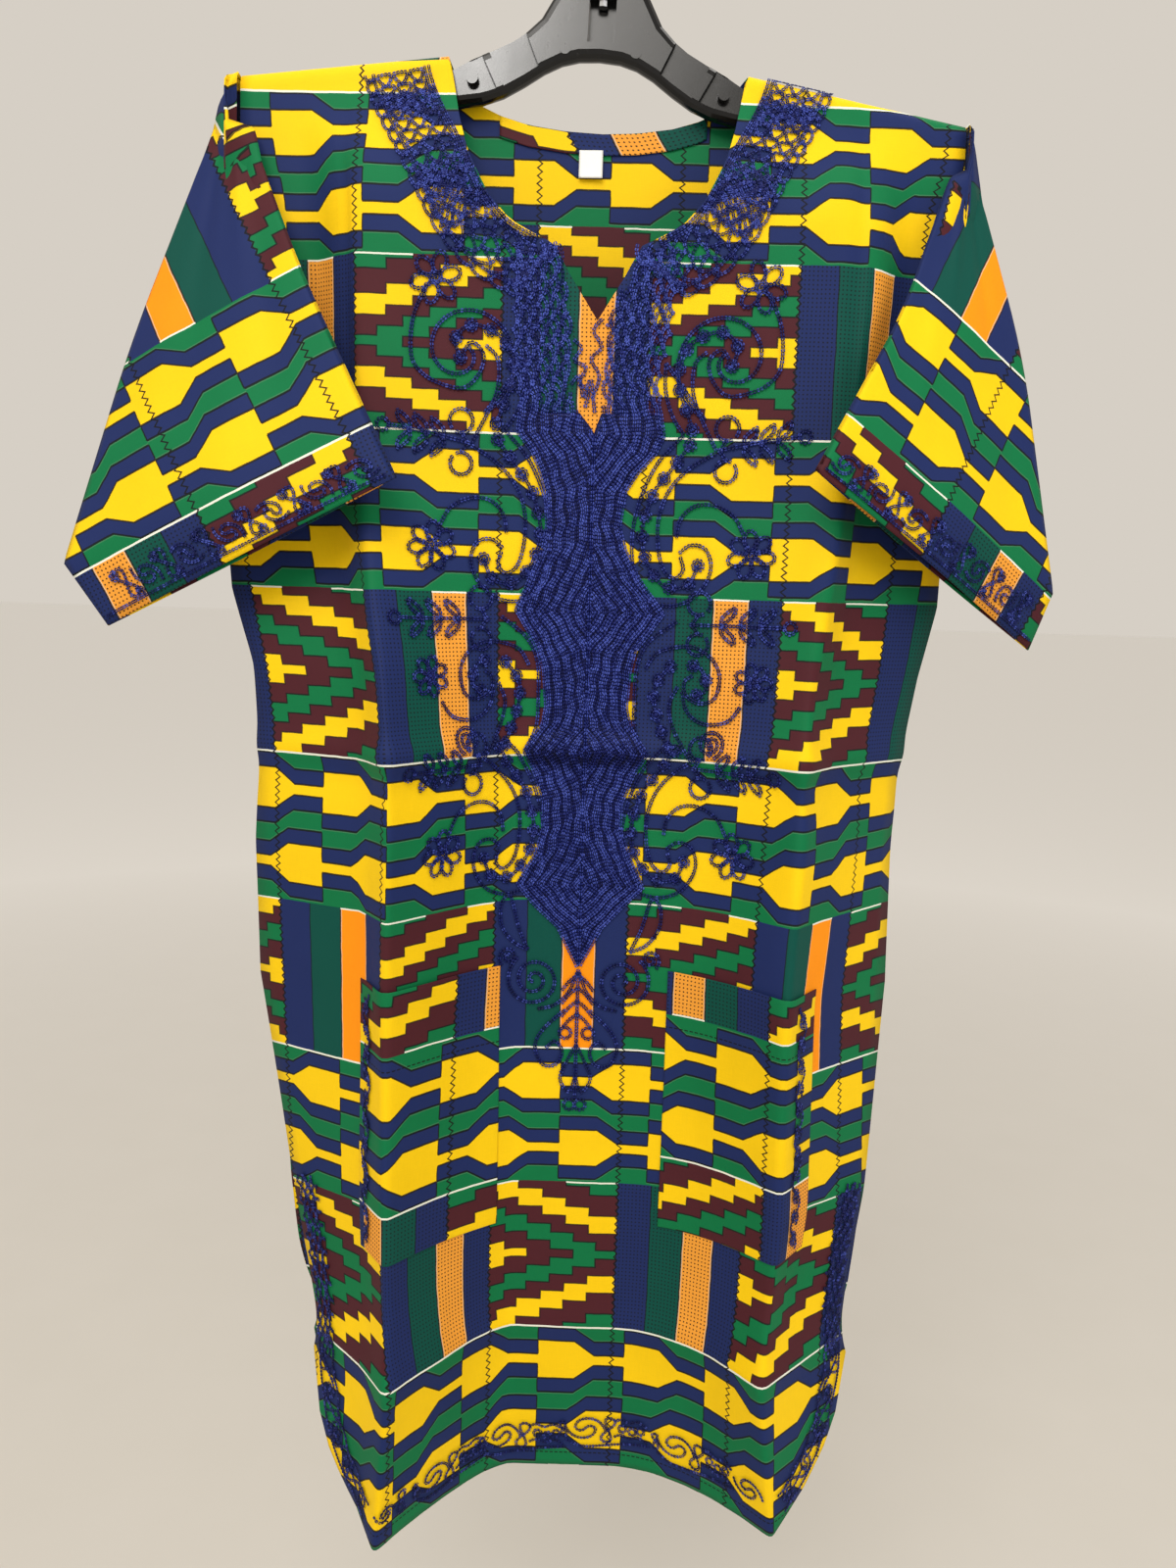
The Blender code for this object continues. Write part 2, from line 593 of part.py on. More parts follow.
def make_hook(metal, collection):
    """A question mark of wire, headed inside the stem. Its inside top is the hang point."""
    top = WIRE / 2
    centre = top - HOOK_RADIUS
    route = [(0.0, SLOT_TOP - 5.0, HEAD_SWELL), (0.0, SLOT_TOP - 1.6, HEAD_SWELL),
             (0.0, SLOT_TOP - 1.2, 1.0), (0.0, STEM_TOP - 4.0, 1.0),
             (0.0, centre - HOOK_RADIUS - 3.5, 1.0), (2.2, centre - HOOK_RADIUS, 1.0)]
    for step in range(25):
        angle = math.radians(-68 + 268 * step / 24)
        route.append((HOOK_RADIUS * math.cos(angle), centre + HOOK_RADIUS * math.sin(angle), 1.0))
    route[-1] = (*route[-1][:2], 1.15)
    curve = bpy.data.curves.new("hanger_hook", "CURVE")
    curve.dimensions = "3D"
    curve.bevel_depth = WIRE / 2 * MM
    curve.bevel_resolution = 2
    curve.use_fill_caps = True
    spline = curve.splines.new("POLY")
    spline.points.add(len(route) - 1)
    for point, (across, up, swell) in zip(spline.points, route):
        x, z = tilted(across, up)
        point.co = (x * MM, 0, z * MM, 1)
        point.radius = swell
    new_object("hanger_hook", curve, metal, collection)


def move_to(obj, collection):
    for holder in list(obj.users_collection):
        holder.objects.unlink(obj)
    collection.objects.link(obj)


def clear_scene():
    for obj in list(bpy.data.objects):
        bpy.data.objects.remove(obj)


def main():
    clear_scene()
    shirt = bpy.data.collections.new("dashiki shirt on hanger")
    cutters = bpy.data.collections.new("cutters")
    bpy.context.scene.collection.children.link(shirt)
    bpy.context.scene.collection.children.link(cutters)
    cutters.hide_render = True
    cotton = new_material("printed cotton", (0.03, 0.2, 0.09), 0.75)
    pocket_cotton = new_material("pocket cotton", (0.9, 0.6, 0.02), 0.75)
    facing = new_material("bias facing", (0.03, 0.05, 0.25), 0.75)
    white = new_material("white satin label", (0.9, 0.9, 0.9), 0.6)
    plastic = new_material("black moulded plastic", (0.01, 0.01, 0.012), 0.3)
    metal = new_material("plated wire", (0.7, 0.7, 0.72), 0.25, 1.0)
    make_hanger(plastic, metal, shirt, cutters)
    make_panels(cotton, shirt)
    make_sleeves(cotton, shirt)
    make_pockets(pocket_cotton, shirt)
    make_neck_trim(facing, white, shirt)
    for cutter in cutters.objects:
        cutter.hide_render = True
        cutter.display_type = "WIRE"


main()
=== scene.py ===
import functools
import math

import bpy
import numpy as np
from mathutils import Matrix, Vector


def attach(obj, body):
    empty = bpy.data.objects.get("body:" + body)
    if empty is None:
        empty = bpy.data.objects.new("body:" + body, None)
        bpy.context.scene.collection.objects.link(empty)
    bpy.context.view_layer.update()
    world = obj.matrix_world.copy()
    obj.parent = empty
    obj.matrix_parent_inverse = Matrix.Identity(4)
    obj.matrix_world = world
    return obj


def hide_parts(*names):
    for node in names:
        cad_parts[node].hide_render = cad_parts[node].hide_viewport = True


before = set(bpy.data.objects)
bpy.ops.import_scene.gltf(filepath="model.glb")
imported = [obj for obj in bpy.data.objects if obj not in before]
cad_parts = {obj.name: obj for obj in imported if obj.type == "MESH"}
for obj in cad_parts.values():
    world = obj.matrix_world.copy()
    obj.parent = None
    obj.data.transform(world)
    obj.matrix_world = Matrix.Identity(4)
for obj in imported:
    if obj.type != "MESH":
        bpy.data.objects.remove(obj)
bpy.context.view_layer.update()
mm = 0.001


def mix(a, b, share):
    return a + (b - a) * share


def clamp(value):
    return min(max(value, 0.0), 1.0)


def ease(share):
    share = np.clip(share, 0.0, 1.0)
    return share * share * (3 - 2 * share)


def between(value, table, column):
    for low, high in zip(table, table[1:]):
        if value <= high[0]:
            break
    return mix(low[column], high[column], clamp((value - low[0]) / (high[0] - low[0])))


def blurred(grid, sigma, axis):
    reach = int(math.ceil(sigma * 3))
    weights = np.exp(-0.5 * (np.arange(-reach, reach + 1) / sigma) ** 2)
    weights /= weights.sum()
    padded = np.pad(grid, [(reach, reach) if i == axis else (0, 0) for i in range(grid.ndim)], "edge")
    return sum(weight * np.take(padded, np.arange(i, i + grid.shape[axis]), axis)
               for i, weight in enumerate(weights))


def sampled(grid, row, column):
    # The value of a grid at a place between its rows and columns.
    row, column = np.clip(row, 0, len(grid) - 1.001), np.clip(column, 0, grid.shape[1] - 1.001)
    i, j = row.astype(int), column.astype(int)
    a, b = row - i, column - j
    if grid.ndim > 2:
        a, b = a[..., None], b[..., None]
    return ((grid[i, j] * (1 - b) + grid[i, j + 1] * b) * (1 - a)
            + (grid[i + 1, j] * (1 - b) + grid[i + 1, j + 1] * b) * a)


def lengthsOf(points):
    # How far along a line each of its points lies.
    return np.concatenate([[0.0], np.cumsum(np.linalg.norm(np.diff(points, axis=0), axis=1))])


def onLine(at, lengths, points):
    return np.stack([np.interp(at, lengths, column) for column in points.T], -1)


def unit(vectors):
    return vectors / np.maximum(np.linalg.norm(vectors, axis=-1, keepdims=True), 1e-9)


def linked(name, data):
    obj = bpy.data.objects.new(name, data)
    bpy.context.scene.collection.objects.link(obj)
    return obj


def meshOf(name, verts, faces):
    mesh = bpy.data.meshes.new(name)
    mesh.from_pydata(verts, [], faces)
    mesh.polygons.foreach_set("use_smooth", np.ones(len(faces), bool))
    mesh.update()
    return mesh


def marked(mesh, name, values, domain="POINT"):
    # Gives a mesh an attribute, of vectors where values has columns.
    kind, key = ("FLOAT_VECTOR", "vector") if values.ndim > 1 else ("FLOAT", "value")
    mesh.attributes.new(name, kind, domain).data.foreach_set(key, values.ravel())


def finished(obj, material=None, node=None):
    if material:
        obj.data.materials.append(material)
    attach(obj, "root")
    if node:
        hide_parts(node)
    return obj


# The shirt's own sizes, in millimetres, the same as the frame's.
sizes = {
    "wall": 0.9, "roll": 7.1, "tilt": 2.0,
    "neckPoint": (88.0, -97.6), "shoulderTip": (216.0, -116.8),
    "frontBase": -30.0, "backBase": 9.5, "frontFall": 75.0, "backFall": 12.0,
    "foot": {"Left": 40.0, "Right": 31.0}, "rise": {"Left": 1.35, "Right": 1.9}, "step": 32.0,
    "armhole": 325.0, "slit": 800.0, "fold": 903.0, "hem": 1013.0,
    "slitParting": 7.0, "slitSpread": 4.0, "backShare": 0.85,
}

sectionColumns = ("down", "edgeLeft", "outLeft", "stepLeft", "creaseLeft", "atLeft",
                  "atRight", "creaseRight", "stepRight", "outRight", "edgeRight")
sectionTable = (
    (95, 220.5, -22, -22, 0, 148, 163, 0, -22, -22, 215.5),
    (230, 223.5, -20, -20, 3, 146, 160, 4, -20, -22, 218.5),
    (325, 227, -14, -10, 12, 140, 152, 12, -14, -24, 221.5),
    (410, 229, -2, 14, 40, 128, 142, 24, -2, -28, 222.5),
    (455, 222.5, 4, 31, 57, 119, 135, 30, 5, -30, 214),
    (508, 212, 8, 38, 64, 114, 132, 42, 16, -28, 206),
    (565, 208.5, 9, 39, 64, 114, 132, 45, 22, -30, 204.5),
    (655, 202, 4, 36, 62, 116, 127.5, 57, 32, -14, 203.5),
    (800, 197.5, -2, 36, 62, 116, 132, 48, 24, -6, 198),
    (855, 194, -5, 37, 63, 114.5, 130, 48, 22, -2, 190.5),
    (903, 183, -5, 50, 76, 112, 124.5, 60, 38, -1, 187),
    (925, 189, -2, 52, 78, 113, 127, 60, 38, 1, 194.5),
    (1015, 188, 15, 55, 81, 119, 138, 60, 38, 8, 192),
)
frontNeck = ((88, 98), (87, 104), (85.8, 110), (82, 131), (76, 153), (70, 166),
             (63, 179), (51, 192), (38, 199), (25, 205), (18, 219), (0, 247))
backNeck = ((88, 98), (84.5, 104), (79, 111), (71, 117.5), (60, 122.5), (44, 127),
            (22, 130), (0, 131))
hemCorner = ((0.0, 0.14), (0.06, 0.38), (0.24, 0.64), (0.5, 0.82), (1.0, 1.0))


@functools.cache
def section(down):
    return {name: between(down, sectionTable, i) for i, name in enumerate(sectionColumns)}


def opened(down):
    return float(ease((down - 112) / sizes["frontFall"]))


def halfSection(down, side, share=1.0, out=None, spread=0.0):
    # Across, rise and run of each corner from the middle out to one side.
    row, name = section(down), "Left" if side < 0 else "Right"
    foot, power = sizes["foot"][name], sizes["rise"][name]
    crease, height, step = row["at" + name], share * row["crease" + name], share * row["step" + name]
    beside = crease + math.sqrt(sizes["step"] ** 2 - (opened(down) * (height - step)) ** 2)
    points = [(mix(foot, crease, i / 6), height * (i / 6) ** power) for i in range(7)]
    points += [(beside, step), (row["edge" + name] + spread, row["out" + name] if out is None else out)]
    half, run = [(0.0, 0.0, 0.0)], 0.0
    for across, rise in points:
        run += math.hypot(across - half[-1][0], opened(down) * (rise - half[-1][1]))
        half.append((across, rise, run))
    return np.array(half)


@functools.cache
def frontHalf(down, side):
    return halfSection(down, side)


def tilted(across, up):
    turn = math.radians(sizes["tilt"])
    return across * math.cos(turn) + up * math.sin(turn), up * math.cos(turn) - across * math.sin(turn)


def shoulderHeight(across):
    side = np.where(np.asarray(across) > 0, 1.0, -1.0)
    (neckX, neckZ), (tipX, tipZ) = [tilted(side * sizes[key][0], sizes[key][1])
                                    for key in ("neckPoint", "shoulderTip")]
    return neckZ + (tipZ - neckZ) * np.maximum((across - neckX) / (tipX - neckX), -0.3)


def overHanger(across, down, side, base, fall):
    start = -(shoulderHeight(across) - sizes["roll"])
    angle = np.maximum(start - down, 0.0) / sizes["roll"]
    bent = down < start
    z = np.where(bent, -start + sizes["roll"] * np.sin(angle), -down)
    y = np.where(bent, side * sizes["roll"] * np.cos(angle),
                 mix(side * sizes["roll"], base, ease((down - start) / fall)))
    return z, y


def neckShare(side):
    return abs(tilted(side * sizes["neckPoint"][0], sizes["neckPoint"][1])[0]) / sizes["neckPoint"][0]


def seamTop(across):
    return sizes["roll"] - float(shoulderHeight(across)) - sizes["roll"] * math.pi / 2 + 0.6


def panelTop(across, neck):
    half = abs(across) / neckShare(-1 if across < 0 else 1)
    if half >= neck[0][0] - 0.01:
        return seamTop(across)
    rows = tuple((-width, down) for width, down in neck)
    return max(between(-half, rows, 1), seamTop(across))


def hemDown(inward):
    # How far down the hem lies, by the share of the way in from the side edge to the crease.
    corner = np.array([between(clamp(float(share)), hemCorner, 1) for share in inward])
    return mix(sizes["fold"], sizes["hem"], corner)


class Panel:
    # One side of the body. A place on the cloth is (across, down) along the cloth; at() gives its point.
    cell, reach, top, bottom = 2.0, 270.0, 84.0, 1024.0
    soften = (1.3, 3.0)  # across and down, in cells

    def __init__(self, front, creases):
        self.front = front
        self.across = np.arange(-self.reach, self.reach + 0.1, self.cell)
        self.down = np.arange(self.top, self.bottom + 0.1, self.cell)
        grid = np.zeros((len(self.down), len(self.across), 2))
        self.edges, self.creases = np.zeros((2, len(self.down), 2))
        for i, down in enumerate(self.down):
            for side in (-1, 1):
                half, run = self.half(float(down), side), side * self.across
                slope = (half[-1, :2] - half[-2, :2]) / (half[-1, 2] - half[-2, 2])
                beyond = np.maximum(run - half[-1, 2], 0.0)[:, None]
                here = run > 0 if side > 0 else run >= 0
                grid[i, here] = ((onLine(run, half[:, 2], half[:, :2]) + beyond * slope) * (side, 1))[here]
                self.edges[i, side > 0], self.creases[i, side > 0] = half[-1, 2], half[-3, 2]
        self.places = blurred(blurred(grid, self.soften[0], 1), self.soften[1], 0)
        u, v = np.meshgrid(self.across, self.down)
        self.folds = sum(softFold(u, v, *fold) for fold in creases)

    def half(self, down, side):
        front = frontHalf(down, side)
        if self.front:
            return front
        slope = (front[-1, 1] - front[-2, 1]) / (front[-1, 0] - front[-2, 0])
        parted = float(ease((down - sizes["slit"]) / 60))
        held = float(ease((down - sizes["armhole"] + 60) / 60))
        apart = 1.5 * math.hypot(1, slope) + sizes["slitParting"] * parted
        _, edgeY = overHanger(side * front[-1, 0], down, -1, sizes["frontBase"] - front[-1, 1],
                              sizes["frontFall"])
        out = held * (sizes["backBase"] - float(edgeY) - apart)
        spread = sizes["slitSpread"] * parted * (1 - float(ease((down - 868) / 35)))
        return halfSection(down, side, sizes["backShare"] * float(ease((down - 300) / 200)), out, spread)

    def sample(self, grid, across, down):
        return sampled(grid, (down - self.top) / self.cell, (across + self.reach) / self.cell)

    def bare(self, across, down):
        x, rise = np.moveaxis(self.sample(self.places, across, down), -1, 0)
        side, name = (-1, "front") if self.front else (1, "back")
        z, y = overHanger(x, down, side, sizes[name + "Base"] - rise, sizes[name + "Fall"])
        return np.stack([x, y, z], -1)

    def at(self, across, down, out=0.0):
        # The point, lifted off the cloth by out, and the way it faces.
        across, down = np.asarray(across, float), np.asarray(down, float)
        side = self.bare(across + 1.5, down) - self.bare(across - 1.5, down)
        fall = self.bare(across, down + 1.5) - self.bare(across, down - 1.5)
        sense = 1 if self.front else -1
        normal = unit(np.cross(fall, side)) * sense
        lift = np.asarray(out, float) + self.sample(self.folds, across, down) * sense
        return self.bare(across, down) + normal * lift[..., None], normal

    def edge(self, side, down):
        return np.interp(down, self.down, self.edges[:, int(side > 0)])

    def crease(self, side, down):
        return np.interp(down, self.down, self.creases[:, int(side > 0)])


def softFold(u, v, startU, startV, endU, endV, height, width, endWidth):
    # A ridge (or trough, where height is negative) along a line, dying out at both ends.
    along = np.array([endU - startU, endV - startV])
    length = np.hypot(*along)
    along = along / length
    s = ((u - startU) * along[0] + (v - startV) * along[1]) / length
    t = (u - startU) * -along[1] + (v - startV) * along[0]
    spread = mix(width, endWidth, np.clip(s, 0, 1))
    return height * ease(s / 0.3) * ease((1 - s) / 0.3) * np.exp(-0.5 * (t / spread) ** 2)


def turnOf(points, closed=False):
    # The direction that each point of a grid of points faces: down the rows crossed with along a row.
    if closed:
        wide = np.concatenate([points[:, -1:], points, points[:, :1]], 1)
        side = wide[:, 2:] - wide[:, :-2]
    else:
        side = np.gradient(points, axis=1)
    return unit(np.cross(np.gradient(points, axis=0), side))


def layered(name, points, normals, cloth, wall, closed=False):
    # Two faces of a sheet, wall apart, closed round its border. cloth holds each place on the print,
    # with one column more than points where the sheet is sewn into a tube.
    rows, columns = points.shape[:2]
    half, count = normals * (wall / 2), rows * columns
    verts = np.concatenate([(points + half).reshape(-1, 3), (points - half).reshape(-1, 3)]) * mm
    index = np.arange(count).reshape(rows, columns)
    index = np.concatenate([index, index[:, :1]], 1) if closed else index
    place = np.arange(index.size).reshape(index.shape)

    def quadsOf(grid):
        return np.stack([grid[:-1, :-1], grid[1:, :-1], grid[1:, 1:], grid[:-1, 1:]], -1).reshape(-1, 4)

    def rimsOf(grid, shift):
        if closed:
            lines = [grid[0, ::-1], grid[-1, :]]
        else:
            lines = [np.concatenate([grid[:, 0], grid[-1, 1:], grid[-2::-1, -1], grid[0, -2::-1]])]
        return np.concatenate([np.stack([line[:-1], line[:-1] + shift, line[1:] + shift, line[1:]], -1)
                               for line in lines])

    faces = np.concatenate([quadsOf(index), quadsOf(index)[:, ::-1] + count, rimsOf(index, count)])
    places = np.concatenate([quadsOf(place), quadsOf(place)[:, ::-1], rimsOf(place, 0)])
    if float(np.sum(turnOf(points, closed) * normals)) < 0:
        faces, places = faces[:, ::-1], places[:, ::-1]
    mesh = meshOf(name, verts.tolist(), faces.tolist())
    flat = cloth.reshape(-1, 2)[places.ravel()]
    marked(mesh, "cloth", np.column_stack([flat, np.zeros(len(flat))]), "CORNER")
    return linked(name, mesh)


gridMake = {
    # columns from the middle out: from, to, share of the step; beyond the last, in proportion to the edge
    "columns": ((0, 58, 1), (58, 93, 0.5), (93, 128, 1), (128, 160, 0.45)), "edgeFrom": 160, "edgeWide": 40,
    # level rows: first, last, and the fold where they lie closer
    "first": 262.0, "last": 868, "fold": 506, "foldWide": 10,
}


def panelGrid(panel, neck, acrossStep, downStep):
    # Places on the cloth, row by row from the neckline or shoulder down to the hem.
    s = gridMake
    inner = [np.arange(start, end, acrossStep * share) for start, end, share in s["columns"]]
    outer = np.linspace(s["edgeFrom"], s["edgeFrom"] + s["edgeWide"], int(s["edgeWide"] / acrossStep))
    reference = np.concatenate([*inner, outer[1:]])
    reference = np.concatenate([-reference[::-1], reference[1:]])
    levels = [s["first"]]
    while levels[-1] < s["last"]:
        levels.append(levels[-1] + downStep * (0.5 if abs(levels[-1] - s["fold"]) < s["foldWide"] else 1))
    topShare = np.concatenate([np.linspace(0, 0.12, 7)[:-1], np.linspace(0.12, 1, int(150 / downStep))])[:-1]
    lowShare = np.concatenate([np.linspace(0, 0.2, 5), np.linspace(0.2, 0.38, 14)[1:],
                               np.linspace(0.38, 1, int(96 / downStep))[1:]])[1:]
    outward = np.clip((np.abs(reference) - s["edgeFrom"]) / s["edgeWide"], 0, 1)
    sign = np.where(reference < 0, -1.0, 1.0)

    def beside(measure, down):
        return np.where(sign < 0, measure(-1, down), measure(1, down))

    def placed(down):
        return np.where(outward > 0, sign * mix(s["edgeFrom"], beside(panel.edge, down), outward), reference)

    top = np.full(len(reference), 110.0)
    for _ in range(3):
        top = np.array([panelTop(float(across), neck) for across in placed(top)])
    edge, crease = beside(panel.edge, sizes["hem"]), beside(panel.crease, sizes["hem"])
    bottom = hemDown((edge - np.abs(placed(sizes["hem"]))) / (edge - crease))
    downs = [mix(top, levels[0], share) for share in topShare]
    downs += [np.full(len(reference), level) for level in levels]
    downs += [mix(levels[-1], bottom, share) for share in lowShare]
    return np.array([placed(row) for row in downs]), np.array(downs)


class Num:
    # A socket that arithmetic can be written with.
    def __init__(self, graph, socket):
        self.graph, self.socket = graph, socket

    def maths(self, operation, *others):
        return self.graph.node("ShaderNodeMath", {"operation": operation}, dict(enumerate((self, *others))))

    def doing(operation):
        return lambda self, *others: self.maths(operation, *others)

    __add__ = __radd__ = doing("ADD")
    __mul__ = __rmul__ = __and__ = doing("MULTIPLY")
    __sub__, __truediv__, least = doing("SUBTRACT"), doing("DIVIDE"), doing("MINIMUM")
    __lt__, __gt__, __or__ = doing("LESS_THAN"), doing("GREATER_THAN"), doing("MAXIMUM")
    __abs__, floor, fract = doing("ABSOLUTE"), doing("FLOOR"), doing("FRACT")

    def __rsub__(self, other):
        return (self * -1) + other

    def held(self):
        return (self | 0.0).least(1.0)


class Graph:
    def __init__(self, tree):
        self.tree = tree

    def node(self, kind, settings=None, values=None, output=0):
        node = self.tree.nodes.new(kind)
        for key, value in (settings or {}).items():
            setattr(node, key, value)
        for key, value in (values or {}).items():
            self.put(node.inputs[key], value)
        return Num(self, node.outputs[output])

    def put(self, socket, value):
        if isinstance(value, Num):
            self.tree.links.new(value.socket, socket)
        elif isinstance(value, (tuple, list)) and len(value) == 3 and socket.type == "RGBA":
            socket.default_value = (*value, 1.0)
        else:
            socket.default_value = value


def fromScreen(red, green, blue):
    return tuple(c / 12.92 if c <= 0.04045 else ((c + 0.055) / 1.055) ** 2.4
                 for c in (red / 255, green / 255, blue / 255))


inks = {
    "yellow": fromScreen(250, 206, 8), "blue": fromScreen(27, 42, 95), "green": fromScreen(4, 114, 66),
    "darkGreen": fromScreen(0, 76, 66), "maroon": fromScreen(76, 30, 38), "orange": fromScreen(255, 150, 8),
    "dotted": fromScreen(240, 160, 56), "line": fromScreen(16, 16, 20), "white": fromScreen(236, 238, 226),
}

printSizes = {
    "block": 87.5, "start": 31.0, "top": 213.0, "repeat": 194.9, "band": 99.6,
    "bottle": 59.5, "bottleStart": 39.5, "bottleStartBack": 50.0, "bodyHalf": 12.9, "neckHalf": 3.45,
    "offset": 9.3, "rowFirst": 23.8, "rowSecond": 70.9, "dot": 2.5, "dotRadius": 0.52,
    "stepHeight": 5.86, "hemStitch": 984.2, "hemStitchBack": 1208.1,
}
stepBreaks = (0.13, 0.31, 0.49, 0.67, 0.845)
stepBreaksOuter = (0.063, 0.234, 0.423, 0.604, 0.784)


def counted(value, breaks):
    total = value > breaks[0]
    for at in breaks[1:]:
        total = total + (value > at)
    return total


def stepColours(across, down):
    # Yellow and green shares of the stepped block; what neither covers is maroon.
    inner, outer = down + counted(across, stepBreaks), down + counted(across, stepBreaksOuter)
    yellow = (inner < 1.5) | ((outer > 7.5) & (outer < 9.6))
    green = ((inner > 3.5) & (inner < 5.5)) | (outer > 12.0)
    return yellow, green


class Finish(Graph):
    # A material, by its shader's nodes.
    def __init__(self, name):
        self.material = bpy.data.materials.new(name)
        self.material.use_nodes = True
        super().__init__(self.material.node_tree)

    def attribute(self, name, output="Vector"):
        return self.node("ShaderNodeAttribute", {"attribute_name": name}, output=output)

    def place(self):
        return self.node("ShaderNodeTexCoord", output="Object")

    def split(self, vector):
        return [self.node("ShaderNodeSeparateXYZ", None, {0: vector}, i) for i in range(2)]

    def joined(self, x, y, z=0.0):
        return self.node("ShaderNodeCombineXYZ", None, {0: x, 1: y, 2: z})

    def colour(self, first, *coats):
        # Lays each coat, an ink and its share, over the first colour.
        for ink, share in coats:
            first = self.node("ShaderNodeMix", {"data_type": "RGBA"}, {0: share, 6: first, 7: ink}, 2)
        return first

    def noise(self, vector, scale, detail=2.0, roughness=0.5):
        return self.node("ShaderNodeTexNoise", None, {"Vector": vector, "Scale": scale, "Detail": detail,
                                                      "Roughness": roughness}, "Fac")

    def bump(self, height, distance, strength=1.0):
        return self.node("ShaderNodeBump", None, {"Height": height, "Distance": distance,
                                                  "Strength": strength}, "Normal")

    def surface(self, **values):
        shader = self.tree.nodes["Principled BSDF"]
        for key, value in values.items():
            self.put(shader.inputs[key.replace("_", " ").title().replace("Ior", "IOR")], value)
        return self.material


def clothPrint(graph, u, v):
    s, paint = printSizes, graph.colour
    blocks = (u - s["start"]) / s["block"]
    column, inBlock = blocks.floor(), blocks.fract()
    repeats = (v - s["top"]) / s["repeat"]
    row = repeats.floor()
    down = repeats.fract() * s["repeat"]
    inBand = down < s["band"]
    oddRow = (row * 0.5).fract() > 0.25
    stepped = ((column + row) * 0.5).fract() < 0.25

    # stepped block
    facing = oddRow * inBlock + (1 - oddRow) * (1 - inBlock)
    level = abs(down - s["band"] / 2) / s["stepHeight"]
    yellow, green = stepColours(facing, level)
    firstYellow, firstGreen = stepColours(facing + 0.0055, level + 0.082)
    lastYellow, lastGreen = stepColours(facing - 0.0055, level - 0.082)
    edges = abs(firstYellow - lastYellow) | abs(firstGreen - lastGreen)
    steps = paint(inks["maroon"], (inks["yellow"], yellow), (inks["green"], green),
                  (inks["line"], edges * 0.85))

    # striped block
    dotU, dotV = (u / s["dot"]).fract() - 0.5, (v / s["dot"]).fract() - 0.5
    dotHere = (dotU * dotU + dotV * dotV) < (s["dotRadius"] / s["dot"]) ** 2
    plainRow = abs(row - 2) < 0.5
    inGreen = (inBlock > 0.26) & (inBlock < 0.52)
    inOrange = (inBlock > 0.52) & (inBlock < 0.77)
    border = (abs(inBlock - 0.26) < 0.004) | (abs(inBlock - 0.52) < 0.006) | (abs(inBlock - 0.77) < 0.006)
    halo = (abs(abs(inBlock - 0.645) - 0.1175) < 0.0035) * 0.35
    stripes = paint(inks["blue"], (inks["darkGreen"], inGreen),
                    (paint(inks["dotted"], (inks["orange"], plainRow)), inOrange),
                    (inks["line"], dotHere * (1 - plainRow) * (0.82 + inOrange * 0.1)),
                    (inks["line"], border * 0.8), (inks["white"], halo))

    shoulder = (row < -0.5) & (down > 80)
    pale = stepped * (yellow | green) + (1 - stepped) * inOrange
    band = paint(stripes, (steps, stepped), (inks["yellow"], shoulder), (inks["white"], (down < 1.0) & pale))

    # bottle rows
    low = down - s["band"]
    second = low > 47.4
    centre = mix(s["rowFirst"], s["rowSecond"], second)
    turn = (oddRow * 2 - 1) * (1 - second * 2)
    start = mix(s["bottleStartBack"], s["bottleStart"], oddRow)
    place = ((u - start) / s["bottle"] * turn).fract()
    half = mix(s["neckHalf"], s["bodyHalf"], ((0.65 - place) / 0.23).held())
    away = abs(low - centre)
    inBottle, inCoat = away < half, away < (half + s["offset"])
    square = (place.least(1 - place) * s["bottle"] < 0.42) & (away > s["neckHalf"])
    square = square & (away < s["bodyHalf"] + s["offset"])
    outline = (abs(away - half) < 0.6) | ((abs(away - half - s["offset"]) < 0.62) | square)
    glow = (abs(away - half - s["offset"] - 0.9) < 0.3) * 0.05
    bottles = paint(inks["green"], (inks["blue"], inCoat), (inks["yellow"], inBottle),
                    (inks["line"], outline * 0.92), (inks["white"], glow), (inks["white"], low < 1.2))

    # jagged stitches printed on every block boundary
    near = ((blocks + 0.5).fract() - 0.5) * s["block"]
    jag = abs((v / 4.6).fract() - 0.5) * 4 - 1
    zigzag = abs(near - jag * (1.5 - inBand * 0.5)) < 0.68
    return paint(bottles, (band, inBand), (inks["line"], zigzag * 0.95))


